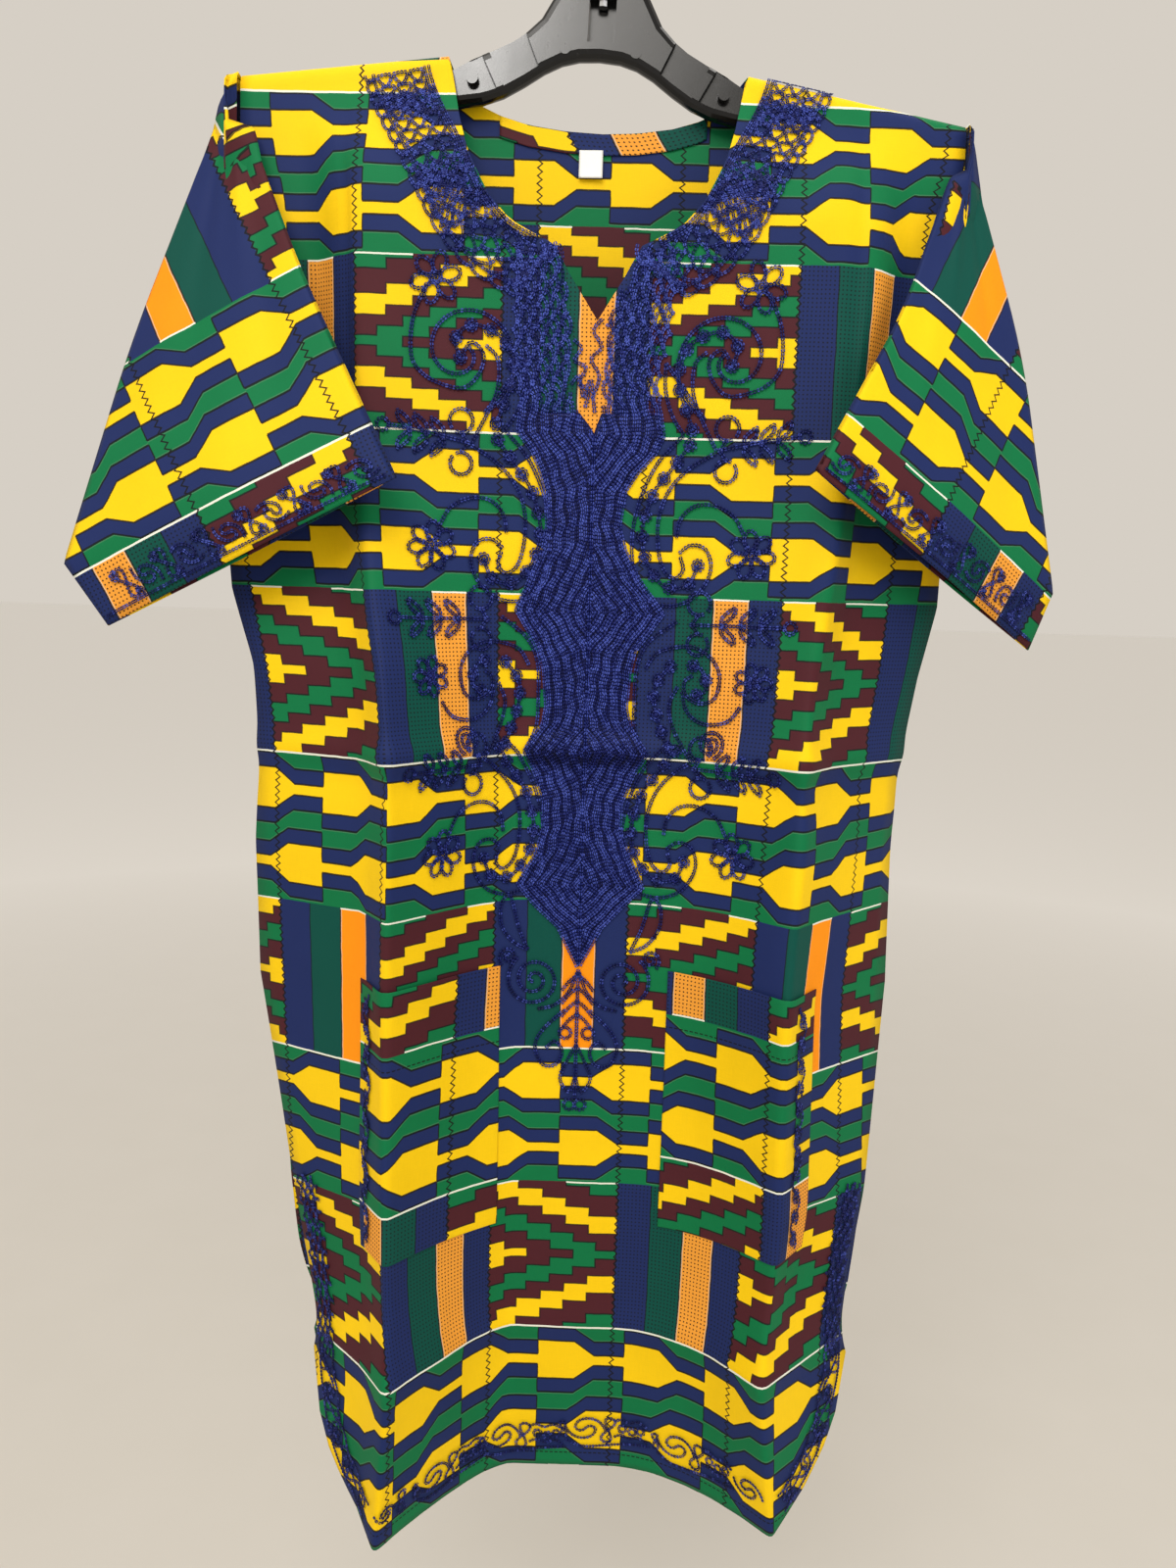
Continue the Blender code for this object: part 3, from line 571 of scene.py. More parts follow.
def makePrinted(name):
    graph, s = Finish(name), printSizes
    u, v = graph.split(graph.attribute("cloth"))
    wander = graph.noise(graph.joined(u * 0.09, v * 0.09), 1.0, 2.0) - 0.5
    colour = clothPrint(graph, u + wander * 1.1, v + wander * 0.7)
    slub = graph.noise(graph.joined(u * 0.12, v * 2.6), 1.0, 3.0, 0.6)
    slubDown = graph.noise(graph.joined(u * 2.4, v * 0.1, 7.0), 1.0, 3.0, 0.6)
    cloudy = graph.noise(graph.joined(u * 0.02, v * 0.02, 3.0), 1.0, 3.0)
    fleck = graph.noise(graph.joined(u * 1.3, v * 1.3, 11.0), 1.0, 4.0, 0.75)
    thread = slub * 0.5 + slubDown * 0.5
    tone = 0.8 + thread * 0.24 + cloudy * 0.16
    colour = graph.node("ShaderNodeVectorMath", {"operation": "SCALE"}, {0: colour, "Scale": tone})
    hemStitch = (abs(v - s["hemStitch"]) < 0.4) | (abs(v - s["hemStitchBack"]) < 0.4)
    colour = graph.colour(colour, (inks["line"], (fleck > 0.72) * 0.1),
                          (inks["line"], hemStitch * ((u / 3.4).fract() < 0.68) * 0.9))
    warp, weft = (abs((way / 0.62).fract() - 0.5) * 2 for way in (u, v))
    return graph.surface(base_color=colour, roughness=0.66 + thread * 0.16 - cloudy * 0.06,
                         normal=graph.bump(warp * weft * 0.35 + thread * 0.65, 0.00022, 0.5),
                         specular_ior_level=0.14, sheen_weight=0.02, sheen_roughness=0.5)


# body

frontFolds = (
    # start across, start down, end across, end down, height, width, width at the end
    (-340, 504, 340, 504.5, 4, 6.5, 7), (-330, 522, 330, 521, -1.8, 9, 10),
    (-330, 903, 330, 902, 2.2, 8, 7),
    (-150, 296, -118, 470, 1.7, 10, 16), (130, 290, 150, 480, 1.9, 9, 15),
    (-96, 530, -120, 705, 1.2, 14, 20), (60, 664, 96, 862, -1.4, 16, 22),
    (-38, 690, -72, 872, 1.3, 12, 18), (152, 520, 118, 650, 1.6, 8, 14),
    (-178, 560, -150, 764, -1.6, 10, 16), (22, 762, 8, 968, 1.1, 14, 24),
    (-112, 850, -84, 1004, 1.4, 10, 16), (106, 840, 88, 1002, -1.3, 10, 16),
    (-186, 118, -112, 196, 1.3, 8, 11), (176, 132, 112, 204, 1.4, 7, 10),
    (-168, 380, -60, 452, -1.1, 9, 15), (172, 400, 74, 446, -1.2, 8, 14),
    (156, 106, 153, 350, -2.7, 4.5, 5.5), (-152, 106, -151, 350, -2.6, 4.5, 5.5),
)
backFolds = (
    (-62, 200, -38, 540, 2.2, 14, 22), (74, 176, 48, 560, -2.3, 16, 24),
    (-140, 260, -96, 470, -1.8, 10, 18), (150, 240, 120, 505, 1.9, 11, 16),
    (-340, 503, 340, 505, 2.6, 7, 8), (-330, 903, 330, 902, 2, 8, 8),
    (-120, 560, -150, 860, 2, 16, 26), (20, 600, 34, 940, -1.9, 18, 26),
    (118, 590, 92, 900, 2.1, 14, 24), (-30, 700, -58, 1000, 1.7, 14, 22),
)

printedCotton = makePrinted("printed cotton")
front, back = Panel(True, frontFolds), Panel(False, backFolds)


def printDown(down):
    return np.interp(down, (0.0, 797.7, 903.3, 1013.0), (0.0, 797.7, 897.3, 992.8))


def makeBody(name, panel, neck, acrossStep, downStep, shift):
    across, down = panelGrid(panel, neck, acrossStep, downStep)
    points, normals = panel.at(across, down)
    cloth = np.stack([across + shift[0], printDown(down) + shift[1]], -1)
    return finished(layered(name, points, normals, cloth, sizes["wall"]), printedCotton,
                    name + "_panel")


frontBody = makeBody("front", front, frontNeck, 5.0, 4.6, (0.0, 0.0))
backBody = makeBody("back", back, backNeck, 6.0, 5.5, (-193.5, 223.9))
print("body", len(frontBody.data.polygons) * 2, len(backBody.data.polygons) * 2)


# sleeves

sleeves = {
    # across, depth and down at the shoulder, half way and at the cuff, for the inner and the outer fold
    "left": {
        "at": {"tip": (-223.0, 0.0, 112.0), "innerHalf": (-171.0, -48.0, 229.0),
               "innerCuff": (-110.0, -86.0, 345.0), "outerHalf": (-279.0, -24.0, 264.0),
               "outerBand": (-316.0, -47.0, 398.0), "outerCuff": (-289.0, -52.0, 434.0),
               "underarm": (-240.0, -6.0, 327.0)},
        # across and down of three places, and where they lie on the print
        "print": ((-278.9, 278.1, 31.0, 602.8), (-189.6, 234.1, -56.5, 602.8), (-228.5, 366.7, 31.0, 507.5)),
    },
    "right": {
        "at": {"tip": (217.0, 0.0, 128.0), "innerHalf": (179.0, -38.0, 238.0),
               "innerCuff": (125.0, -84.0, 334.0), "outerHalf": (259.0, -15.0, 258.0),
               "outerBand": (289.5, -18.0, 398.0), "outerCuff": (279.0, -14.0, 434.0),
               "underarm": (239.0, 0.0, 327.0)},
        "print": ((250.3, 263.1, 31.0, 702.4), (186.5, 218.7, -45.5, 702.4), (210.0, 346.5, 31.0, 797.7)),
    },
}
sleeveMake = {
    "band": 0.875, "layers": (44, 12, 30), "shownArmhole": 0.035, "halfGap": 7.0, "clearance": (5.8, 3.2),
    "beside": 2.2, "held": (0.4, 0.05), "sag": 22.0, "rings": 60,
    # in metres: all round, length at the top, area with the sloped head
    "cut": {"left": (0.405, 0.285, 0.080), "right": (0.395, 0.265, 0.060)},
    # share across the layer that shows, share along, length, width, height, lean
    "folds": {"left": ((0.30, 0.18, 0.30, 0.05, 2.2, 0.10), (0.62, 0.30, 0.36, 0.06, -1.8, -0.12),
                       (0.22, 0.55, 0.30, 0.05, -1.6, 0.20), (0.78, 0.62, 0.34, 0.07, 1.8, -0.10),
                       (0.45, 0.82, 0.22, 0.06, 1.4, 0.15)),
              "right": ((0.35, 0.2, 0.32, 0.05, 2.4, -0.10), (0.68, 0.34, 0.3, 0.06, -1.9, 0.14),
                        (0.25, 0.6, 0.34, 0.05, 1.5, 0.12), (0.8, 0.7, 0.28, 0.06, -1.6, -0.16),
                        (0.5, 0.86, 0.2, 0.07, 1.2, 0.10))},
}


def alongLine(points, share):
    lengths = lengthsOf(points)
    return onLine(share * lengths[-1], lengths, points)


def roundedAlong(points, share, spread=0.1):
    spread = min(spread, share, 1 - share)
    return sum(alongLine(points, share + spread * k / 2) for k in (-2, -1, 0, 1, 2)) / 5


def armholeRing(side):
    # The open edge of the body: down the back edge, and up the front one where the seam turns forward.
    shown, behind, hidden = sleeveMake["layers"]
    top = seamTop(side * float(front.edge(side, 120.0))) + 3
    first = sleeveMake["shownArmhole"] * np.arange(shown) / shown
    second = mix(sleeveMake["shownArmhole"], 1.0, np.arange(behind) / behind)
    down = mix(top, sizes["armhole"], np.concatenate([first, second]))
    rear = back.at(side * back.edge(side, down), down)[0] + np.array([side * 1.05, 0, 0])
    down = mix(sizes["armhole"], top, (1 - np.cos(np.pi * np.arange(hidden) / hidden)) / 2)
    fore = front.at(side * front.edge(side, down), down, 2.5)[0] + np.array([side * 1.5, 0, 0])
    return np.concatenate([rear, fore])


def placesOf(sleeve):
    return {name: np.multiply(place, (1, 1, -1)) for name, place in sleeve["at"].items()}


def freeRing(sleeve, share):
    at, band = placesOf(sleeve), sleeveMake["band"]
    inner = roundedAlong(np.array([at["tip"], at["innerHalf"], at["innerCuff"]]), share)
    if share < band:
        outer = roundedAlong(np.array([at["tip"], at["outerHalf"], at["outerBand"]]), share / band)
    else:
        outer = mix(at["outerBand"], at["outerCuff"], (share - band) / (1 - band))
    under = mix(at["underarm"], at["outerCuff"], share)
    under[2] -= sleeveMake["sag"] * math.sin(math.pi * share)
    shown, behind, hidden = sleeveMake["layers"]
    ring = []
    for start, end, count, lean in ((inner, outer, shown, -share), (outer, under, behind, 1 - share),
                                    (under, inner, hidden, mix(-1, 1, share))):
        part = (np.arange(count) / count)[:, None]
        if count == hidden:
            part[1] = 0.004
        swell = sleeveMake["halfGap"] * np.sin(np.pi * part) * lean
        ring.append(mix(start, end, part) + swell * np.array([0, 1.0, 0]))
    return np.concatenate(ring)


def inFront(point, clearance, beside):
    # Keeps a point of a sleeve clear of the front wherever it hangs over it or close beside it.
    down, side = float(-point[2]), math.copysign(1, point[0])
    half, across = frontHalf(down, side), abs(point[0])
    edge = half[-1, 0]
    past = max(across - edge - 2, 0.0)
    if past > 26:
        return point
    across = max(across, edge + beside) if beside else across
    run = float(np.interp(min(across, edge), half[:, 0], half[:, 2]))
    limit = float(front.at(side * run, down)[0][1]) - clearance + past * 0.9
    return np.array([side * across, min(point[1], limit), point[2]])


def printPlace(sleeve, points):
    known = np.array(sleeve["print"])
    rule = np.linalg.solve(np.column_stack([known[:, :2], np.ones(3)]), known[:, 2:])
    return np.stack([points[..., 0], -points[..., 2], np.ones(points.shape[:-1])], -1) @ rule


def turnedOver(places, fold, along):
    # Places on a layer folded under, as they lie on the print when it is opened flat again.
    along, off = unit(along), places - fold
    return fold + 2 * np.sum(off * along, -1, keepdims=True) * along - off


@functools.cache
def sleeveGrid(which):
    sleeve = sleeves[which]
    at = placesOf(sleeve)
    shown, behind, hidden = sleeveMake["layers"]
    sewnTo, start = armholeRing(math.copysign(1, at["tip"][0])), freeRing(sleeve, 0.0)
    number, rows = np.arange(len(start)), []
    for share in np.concatenate([np.linspace(0, 0.1, 9)[:-1], np.linspace(0.1, 1, sleeveMake["rings"] - 8)]):
        held = np.where(number > shown, *[1 - float(ease(share / length)) for length in sleeveMake["held"]])
        ring = freeRing(sleeve, share) + (sewnTo - start) * held[:, None]
        if share:
            beside = sleeveMake["beside"] * float(1 - ease((share - 0.06) / 0.06))
            ring = np.array([inFront(point, sleeveMake["clearance"][int(i > shown + behind)], beside)
                             for i, point in enumerate(ring)])
        for middle, along, length, width, height, lean in sleeveMake["folds"][which]:
            place = np.minimum(number / shown, 2 - number / shown)
            away = (place - middle - lean * (share - along)) / width
            strength = math.exp(-0.5 * ((share - along) / (length / 2)) ** 2)
            lift = height * strength * np.exp(-0.5 * away ** 2) * (number < shown)
            ring = ring - lift[:, None] * np.array([0, 1.0, 0])
        rows.append(ring)
    rows = np.array(rows)
    flat = printPlace(sleeve, rows)
    tip, outer, inner = printPlace(sleeve, np.array([at[name] for name in ("tip", "outerBand", "innerCuff")]))
    over = turnedOver(flat[:, shown:shown + behind + 1], flat[:, shown:shown + 1], outer - tip)
    under = turnedOver(flat[:, shown + behind + 1:], flat[:, :1], inner - tip)
    return rows, np.concatenate([flat[:, :shown], over, under, flat[:, :1]], 1)


def makeSleeve(which):
    points, cloth = sleeveGrid(which)
    normals = turnOf(points, closed=True) * (-1 if which == "right" else 1)
    obj = layered("sleeve_" + which + "_cloth", points, normals, cloth, sizes["wall"], closed=True)
    return finished(obj, printedCotton, "sleeve_" + which)


sleeveCloth = {which: makeSleeve(which) for which in sleeves}
print("sleeves", [len(obj.data.polygons) * 2 for obj in sleeveCloth.values()])


# pockets, facing and label

pockets = {
    "top": 646.0, "bottom": 826.0, "out": 1.25, "wall": 0.7,
    # inner edge, and the print: where its block boundary lies, its lean, its two lines and its scale
    "left": {"inner": -52.0, "boundary": -84.5, "boundaryAt": 31.0, "lean": -0.034, "scale": 0.9,
             "lines": ((688.0, 992.6), (794.5, 897.3))},
    "right": {"inner": 59.0, "boundary": 134.0, "boundaryAt": -56.5, "lean": 0.0, "scale": 0.95,
              "lines": ((675.0, 992.6), (776.0, 897.3))},
}
trim = {
    "facingHalf": 63.0, "facingDepth": 12.0, "wall": 0.7, "out": 1.3,
    "label": (14.5, 16.0), "labelAt": (-7.0, 141.0), "labelOut": 2.6, "labelWall": 0.5,
}


def makePocket(which):
    pocket, side = pockets[which], -1 if which == "left" else 1
    down = np.concatenate([[0, 0.6], np.linspace(2.5, 177.5, 44), [179.4, 180]]) + pockets["top"]
    outer = side * np.array([halfSection(float(level), side)[-2, 2] for level in down])[:, None]
    share, down = np.meshgrid(np.concatenate([[0, 0.008], np.linspace(0.03, 0.97, 34), [0.992, 1]]), down)
    across = mix(pocket["inner"], outer, share)
    near = np.minimum(np.abs(across - pocket["inner"]), np.abs(across - outer))
    near = np.minimum(near, pockets["bottom"] - down)
    opening = np.exp(-((down - pockets["top"]) / 14) ** 2) * np.sin(np.pi * share) * 1.4
    points, normals = front.at(across, down, pockets["out"] - 0.25 * np.exp(-near / 1.5) + opening)
    (lineDown, line), (nextDown, nextLine) = pocket["lines"]
    boundary = pocket["boundary"] + pocket["lean"] * (down - pockets["top"])
    cloth = np.stack([pocket["boundaryAt"] - pocket["scale"] * (across - boundary),
                      line + (nextLine - line) * (down - lineDown) / (nextDown - lineDown)], -1)
    obj = layered("pocket_" + which + "_cloth", points, normals, cloth, pockets["wall"])
    return finished(obj, printedCotton, "pocket_" + which)


def makeFacing():
    half, depth = trim["facingHalf"], trim["facingDepth"]
    across, fall = np.meshgrid(np.linspace(-half, half, 64), [0, 0.7, 3, 6, 9, 11.3, depth])
    top = np.array([panelTop(float(at), backNeck) for at in across[0]]) + 0.5
    points, normals = back.at(across, top + fall, -trim["out"])
    cloth = np.stack([10.9 - (across - 4) * 0.78 + fall * 0.45, 236 + fall * 1.1], -1)
    return finished(layered("neck_facing", points, -normals, cloth, trim["wall"]),
                    printedCotton, "back_neck_facing")


def makeLabel():
    width, height = trim["label"]
    across, down = np.meshgrid(np.linspace(-0.5, 0.5, 12), np.linspace(0, 1, 14))
    lift = trim["labelOut"] + 0.9 * down ** 2 + 0.35 * np.sin(across * 3)
    points, normals = back.at(trim["labelAt"][0] + across * width, trim["labelAt"][1] + down * height, -lift)
    cloth = np.stack([across * width, down * height], -1)
    return finished(layered("size_tag", points, -normals, cloth, trim["labelWall"]),
                    makeSatin(), "size_label")


def makeSatin():
    graph = Finish("white satin tape")
    u, v = graph.split(graph.attribute("cloth"))
    ribs = abs((v / 0.45).fract() - 0.5) * 2
    threads = graph.noise(graph.joined(u * 5.0, v * 0.6), 1.0, 3.0)
    edge = (abs(u) > 6.5) & (ribs > 0.5)
    colour = graph.colour(fromScreen(228, 228, 224), (fromScreen(246, 246, 244), threads),
                          (fromScreen(205, 205, 200), edge * 0.6))
    return graph.surface(base_color=colour, roughness=0.42 + threads * 0.15, sheen_weight=0.2,
                         normal=graph.bump(ribs * 0.6 + threads, 0.0001, 0.4))


pocketCloth = {which: makePocket(which) for which in ("left", "right")}
facing, tag = makeFacing(), makeLabel()
print("pockets, facing and label")


# embroidery: lines of chain stitch, charted in millimetres along the cloth from the middle of the front

threadMake = {
    "pitch": 2.2, "width": 2.35, "height": 1.25, "lift": 1.05, "seed": 11,
    # the first colour is painted shade for the cords' sides and gaps, the second the thread's own blue, the
    # third a painted glint
    "paintedShadeBlue": fromScreen(3, 9, 52), "mid": fromScreen(24, 38, 128), "bright": fromScreen(92, 112, 216),
    # how far links lean and differ in size
    "lean": 0.10, "uneven": 0.06,
    # their shade, how far it varies where each line has its own tone and elsewhere, and how much darker
    # it is painted along the panel's fold, a painted shadow under the fold
    "shade": 0.25, "rowSpread": 0.8, "spread": 1.4, "paintedFoldShadow": 0.7,
}


def smooth(*places, step=0.9):
    # A soft curve through a few places.
    points = np.array(places, float)
    padded = np.concatenate([2 * points[:1] - points[1:2], points, 2 * points[-1:] - points[-2:-1]])
    line = []
    for i in range(1, len(padded) - 2):
        before, here, after, beyond = padded[i - 1:i + 3]
        count = max(int(np.linalg.norm(after - here) / step), 2)
        t = (np.arange(count) / count)[:, None]
        line.append(0.5 * (2 * here + (after - before) * t
                           + (2 * before - 5 * here + 4 * after - beyond) * t ** 2
                           + (3 * here - before - 3 * after + beyond) * t ** 3))
    return np.concatenate(line + [points[-1:]])


def coil(u, v, inner, outer, start, turns, power=1.0):
    # A spiral from its middle outward; angles run clockwise from the right, turns below nought the other way.
    t = np.linspace(0, 1, max(int(abs(turns) * 44), 12))
    angle = math.radians(start) + turns * 2 * math.pi * t
    radius = inner + (outer - inner) * t ** power
    return np.stack([u + radius * np.cos(angle), v + radius * np.sin(angle)], -1)


def ring(u, v, radius, start=0.0, turns=1.0):
    return coil(u, v, radius, radius, start, turns)


def ball(u, v, radius=3.1):
    return [ring(u, v, radius), coil(u, v, 0.3, radius * 0.55, 40, 1.4)]


def turned(u, v, across, down, degrees):
    # A shape about (u, v), turned clockwise.
    turn = math.radians(degrees)
    return np.stack([u + across * math.cos(turn) - down * math.sin(turn),
                     v + across * math.sin(turn) + down * math.cos(turn)], -1)


def flower(u, v, radius, petals, lean=0.0):
    t = np.linspace(0, 2 * math.pi, 26)
    along, beside = radius * (0.60 - 0.40 * np.cos(t)), radius * 0.27 * np.sin(t)
    return [coil(u, v, 0.4, radius * 0.22, 0, 1.6),
            *(turned(u, v, along, beside, lean + 360 * i / petals) for i in range(petals))]


def beads(path, gap=11.0, radius=3.1):
    # Knots strung on a line.
    run, lines = lengthsOf(path), [path]
    for at in np.linspace(0, run[-1], int(run[-1] / gap) + 1):
        lines += ball(*onLine(at, run, path), radius)
    return lines


def scroll(u, v, size, lean=0.0, sense=1.0):
    # Two arms wound round one middle, with tails that run out level.
    t = np.linspace(0, 1, 30)
    angle = np.radians(240 * t - 50)
    radius = size * (0.29 * np.minimum(t / 0.22, 1) ** 0.7 + 0.3 * (2 * np.maximum(t - 0.5, 0)) ** 2)
    arm = np.stack([radius * np.cos(angle), radius * np.sin(angle) * sense], -1)
    arm = np.concatenate([-arm[::-1], arm[1:]])
    return [turned(u, v, arm[:, 0], arm[:, 1], lean)]


def eight(u, v, height, lean=0.0):
    t = np.linspace(0, 2 * math.pi, 40)
    return [turned(u, v, height * 0.19 * np.sin(2 * t), height * 0.5 * np.cos(t), lean)]


def sprig(u, v, length, lift=0.0):
    # A stem lying outward, with a ring over and under its foot and slanting loops along it.
    lines = [smooth((u, v), (u + length * 0.5, v - lift * 0.6), (u + length, v - lift)),
             ring(u + 6, v - 13, 7.0, 60, 0.95), ring(u + 6, v + 12, 6.5, -60, -0.95),
             smooth((u + 2, v), (u + 5, v - 5), (u + 6, v - 7)),
             smooth((u + 2, v), (u + 5, v + 4), (u + 6, v + 6))]
    for side in (-1, 1):
        for place in (0.33, 0.53, 0.73):
            foot = np.array([u + length * place, v - lift * place])
            tip = foot + np.array([length * 0.14, side * 11.0])
            lines.append(smooth(foot, mix(foot, tip, 0.5) + (-3.2, 0), tip,
                                mix(foot, tip, 0.55) + (2.8, 0), foot))
    return lines + [ring(u + length + 2.5, v - lift, 3.6)]


def upperScroll(v):
    # From the blossom round to its middle, and from the middle's coil out and down beside the panel.
    lines = [smooth((101, v - 41), (109, v - 21), (110, v), (104, v + 10), (93, v + 16), (79, v + 18),
                    (70, v + 10), (67, v), (70, v - 6), (75, v - 8), (79, v - 3)),
             np.concatenate([coil(80, v - 2, 5, 38, 225, -1.36, 1.25)[:-2],
                             smooth((41.5, v), (42, v + 16), (47, v + 31), (54, v + 41))]),
             smooth((66, v - 7), (59, v), (58, v + 13), (61, v + 25), (68, v + 39), (74, v + 50))]
    lines += beads(smooth((81, v + 1), (84, v - 9), (79, v - 16), (70, v - 18), (56, v - 11), (50, v + 2),
                          (50, v + 14), (55, v + 27), (59, v + 38)), 11.0)
    return lines + flower(96, v - 44, 15.0, 6, 15)


def lowerScroll(v):
    lines = [smooth((54, v - 9), (39, v + 8), (29, v + 30), (25, v + 52), (27, v + 74), (34, v + 88),
                    (48, v + 93), (62, v + 89), (71, v + 79), (74, v + 68), (70, v + 58), (61, v + 56),
                    (54, v + 61)),
             smooth((74, v + 1), (59, v + 10), (47, v + 23), (41, v + 39), (41, v + 57), (45, v + 71),
                    (52, v + 76), (57, v + 71), (55, v + 63)),
             smooth((52, v + 52), (54, v + 41), (62, v + 33), (74, v + 32), (86, v + 38), (93, v + 49))]
    lines += beads(smooth((58, v - 3), (47, v + 12), (38, v + 24), (33, v + 38), (31, v + 52), (35, v + 68),
                          (46, v + 81), (60, v + 80), (66, v + 68)), 11.5)
    return lines + flower(98, v + 61, 14.5, 7, 8)


def middleScroll(v):
    lines = [smooth((55, v - 41), (38, v - 28), (31, v - 13), (30, v + 6), (31, v + 27), (38, v + 42)),
             smooth((36, v - 11), (43, v - 21), (55, v - 25), (67, v - 25), (78, v - 18), (83, v - 7),
                    (80, v + 6), (70, v + 9), (62, v + 4), (61, v - 4), (66, v - 8)),
             smooth((57, v - 1), (52, v + 11), (55, v + 25), (61, v + 35), (68, v + 45)),
             smooth((60, v + 2), (62, v + 12), (68, v + 19), (78, v + 22), (90, v + 19), (97, v + 10))]
    lines += beads(smooth((66, v - 14), (72, v - 11), (75, v), (69, v + 4)), 9.0)
    lines += beads(smooth((52, v - 13), (45, v - 5), (42, v + 4), (44, v + 17), (48, v + 28), (53, v + 38)),
                   10.5)
    return lines + [coil(80, v + 34, 1.0, 9.0, 0, 2.2), *flower(104, v - 5, 12.0, 7, 0)]


def finial():
    lines = [smooth((0, 648), (0, 690), (0, 738)),
             *(smooth((0, down), (5, down + 4), (10.5, down + 11)) for down in (652, 661, 670, 679))]
    return lines + [
        coil(29, 656, 0.8, 18.5, 90, -2.4), smooth((0.5, 650), (6, 664), (15, 673), (26, 676)),
        smooth((33, 636), (40, 620), (46, 600), (52, 604), (52, 618), (44, 630), (33, 636)),
        coil(47, 640, 0.8, 6.5, 200, 1.6), ring(7.5, 692, 3.8),
        smooth((8, 676), (22, 690), (27, 702), (22, 714), (13, 714), (9, 705), (14, 698), (20, 703)),
        smooth((0, 700), (6, 712), (10, 724), (4, 733), (0, 722)), ring(3.6, 742, 3.6, 180, 1.0)]


panelOutline = (
    # down the front, out to the left edge, out to the right edge
    (216, 50, 46), (250, 50, 44), (279, 49, 38), (291, 45, 39), (312, 47, 43), (323, 38, 38), (334, 33, 28),
    (345, 29.5, 21), (366, 28, 18), (380, 30, 22), (397, 37, 31), (418, 46.5, 47), (431, 38, 38),
    (442, 32, 30), (454, 28, 27.5), (477, 26, 26), (489, 28, 29), (505, 39.5, 40.5), (520, 32, 32),
    (538, 26, 25), (555, 26, 25), (572, 30, 31), (592, 42, 41), (605, 31, 28.5), (620, 15, 15), (648, 1, 0.6),
)
panelGap = ((216, 22, 22), (247, 16, 6), (288, 16, 5), (300, 9, 4), (311, 0, 0), (649, 0, 0))
panelMake = {
    "top": 206.0, "bottom": 647.5, "row": 2.4, "rows": 22, "wave": 0.66, "waveLength": 17.0, "loose": 1.7,
    "armsTo": 300.0, "fold": 509.0,
    # the close stitching under the rows, down the front, how far it lies off the cloth, and its thickness
    "ground": (300, 646.5), "groundOut": 0.75, "groundWall": 0.4,
    # tone of the rows (raised: painted highlight on the ribs), of every third one (lowered: painted shade in
    # the valleys between ribs), and of the loose threads
    "rowTone": 1.05, "valleyPaintedShade": -0.35, "looseTone": 0.6,
}


def panelEdges(down, side):
    outline, gap = np.array(panelOutline), np.array(panelGap)
    return [np.interp(down, table[:, 0], table[:, 1 if side < 0 else 2]) for table in (outline, gap)]


def panelRows():
    # Rows that keep the outline's shape, each a row's width further in, until they meet the gap or the
    # middle, each with its tone. Above, in the arms beside the gap, they wander in small loops.
    s = panelMake
    down = np.arange(s["top"], s["bottom"], 0.8)
    arms = np.clip((s["armsTo"] - down) / 16, 0, 1)
    lines, tones = [smooth((0, 312), (0.4, 470), (0, 645))], [s["looseTone"]]
    for side in (-1, 1):
        outer, inner = panelEdges(down, side)
        for i in range(s["rows"]):
            across = outer - 0.8 - s["row"] * i
            wave = s["wave"] * np.sin(down / s["waveLength"] * 2 * np.pi + i * 0.5) * min(i / 4, 1)
            turn = down / 1.9 + i * 2.3
            place = np.stack([side * (across + wave + s["loose"] * arms * np.sin(turn)),
                              down + arms * 2.3 * np.cos(turn)], -1)
            edges = np.flatnonzero(np.diff(np.concatenate([[0], across > inner + 0.7, [0]])))
            for start, end in zip(edges[::2], edges[1::2]):
                if end - start > 4:
                    lines.append(place[start:end])
                    # every third row darker: painted shade in the valley between ribs
                    tones.append(s["valleyPaintedShade"] if i % 3 == 2 else s["rowTone"])
    lines += [smooth((-14, 258), (-9, 263), (-13, 270), (-6, 274), (-10, 283), (-4, 287), (-6, 297)),
              smooth((3, 246), (-2, 253), (3, 262), (-3, 269), (2, 279), (-2, 292)),
              smooth((-15, 284), (-10, 279), (-7, 291), (-3, 281), (0, 300))]
    return lines, tones + [s["looseTone"]] * 3


class Route:
    # A line on the front of the shirt, with the way off it at each place.
    def __init__(self, side, points, soft=0.0):
        along = unit(np.gradient(blurred(points, soft, 0) if soft else points, axis=0))
        self.side, self.points, self.lengths = side, points, lengthsOf(points)
        self.way = np.stack([along[:, 1], -along[:, 0]], -1)

    def at(self, run, out):
        place, way = (onLine(run, self.lengths, grid) for grid in (self.points, self.way))
        return (place + way * np.asarray(out, float)[..., None]) * (self.side, 1.0)


def neckRoute(side):
    # The neckline from the shoulder round to the notch.
    route = smooth(*[(width * neckShare(side), down) for width, down in frontNeck[::-1]][1:], step=1.5)[::-1]
    return Route(side, route[route[:, 1] > 99], 3.0)


neckBand = {
    "end": 26, "edgeRows": (1.4, 3.9), "netRows": 3, "netWave": 4.2, "netLength": 14.0, "netStart": 9.2,
    "netGap": 9.6, "start": 12.0, "startFade": 62, "wide": 36.0, "narrow": 33.0, "picot": 7.5,
    "close": ((14.0, 29.0), (56.0, 88.0), (128.0, 138.0)), "closeGap": 2.3,
}


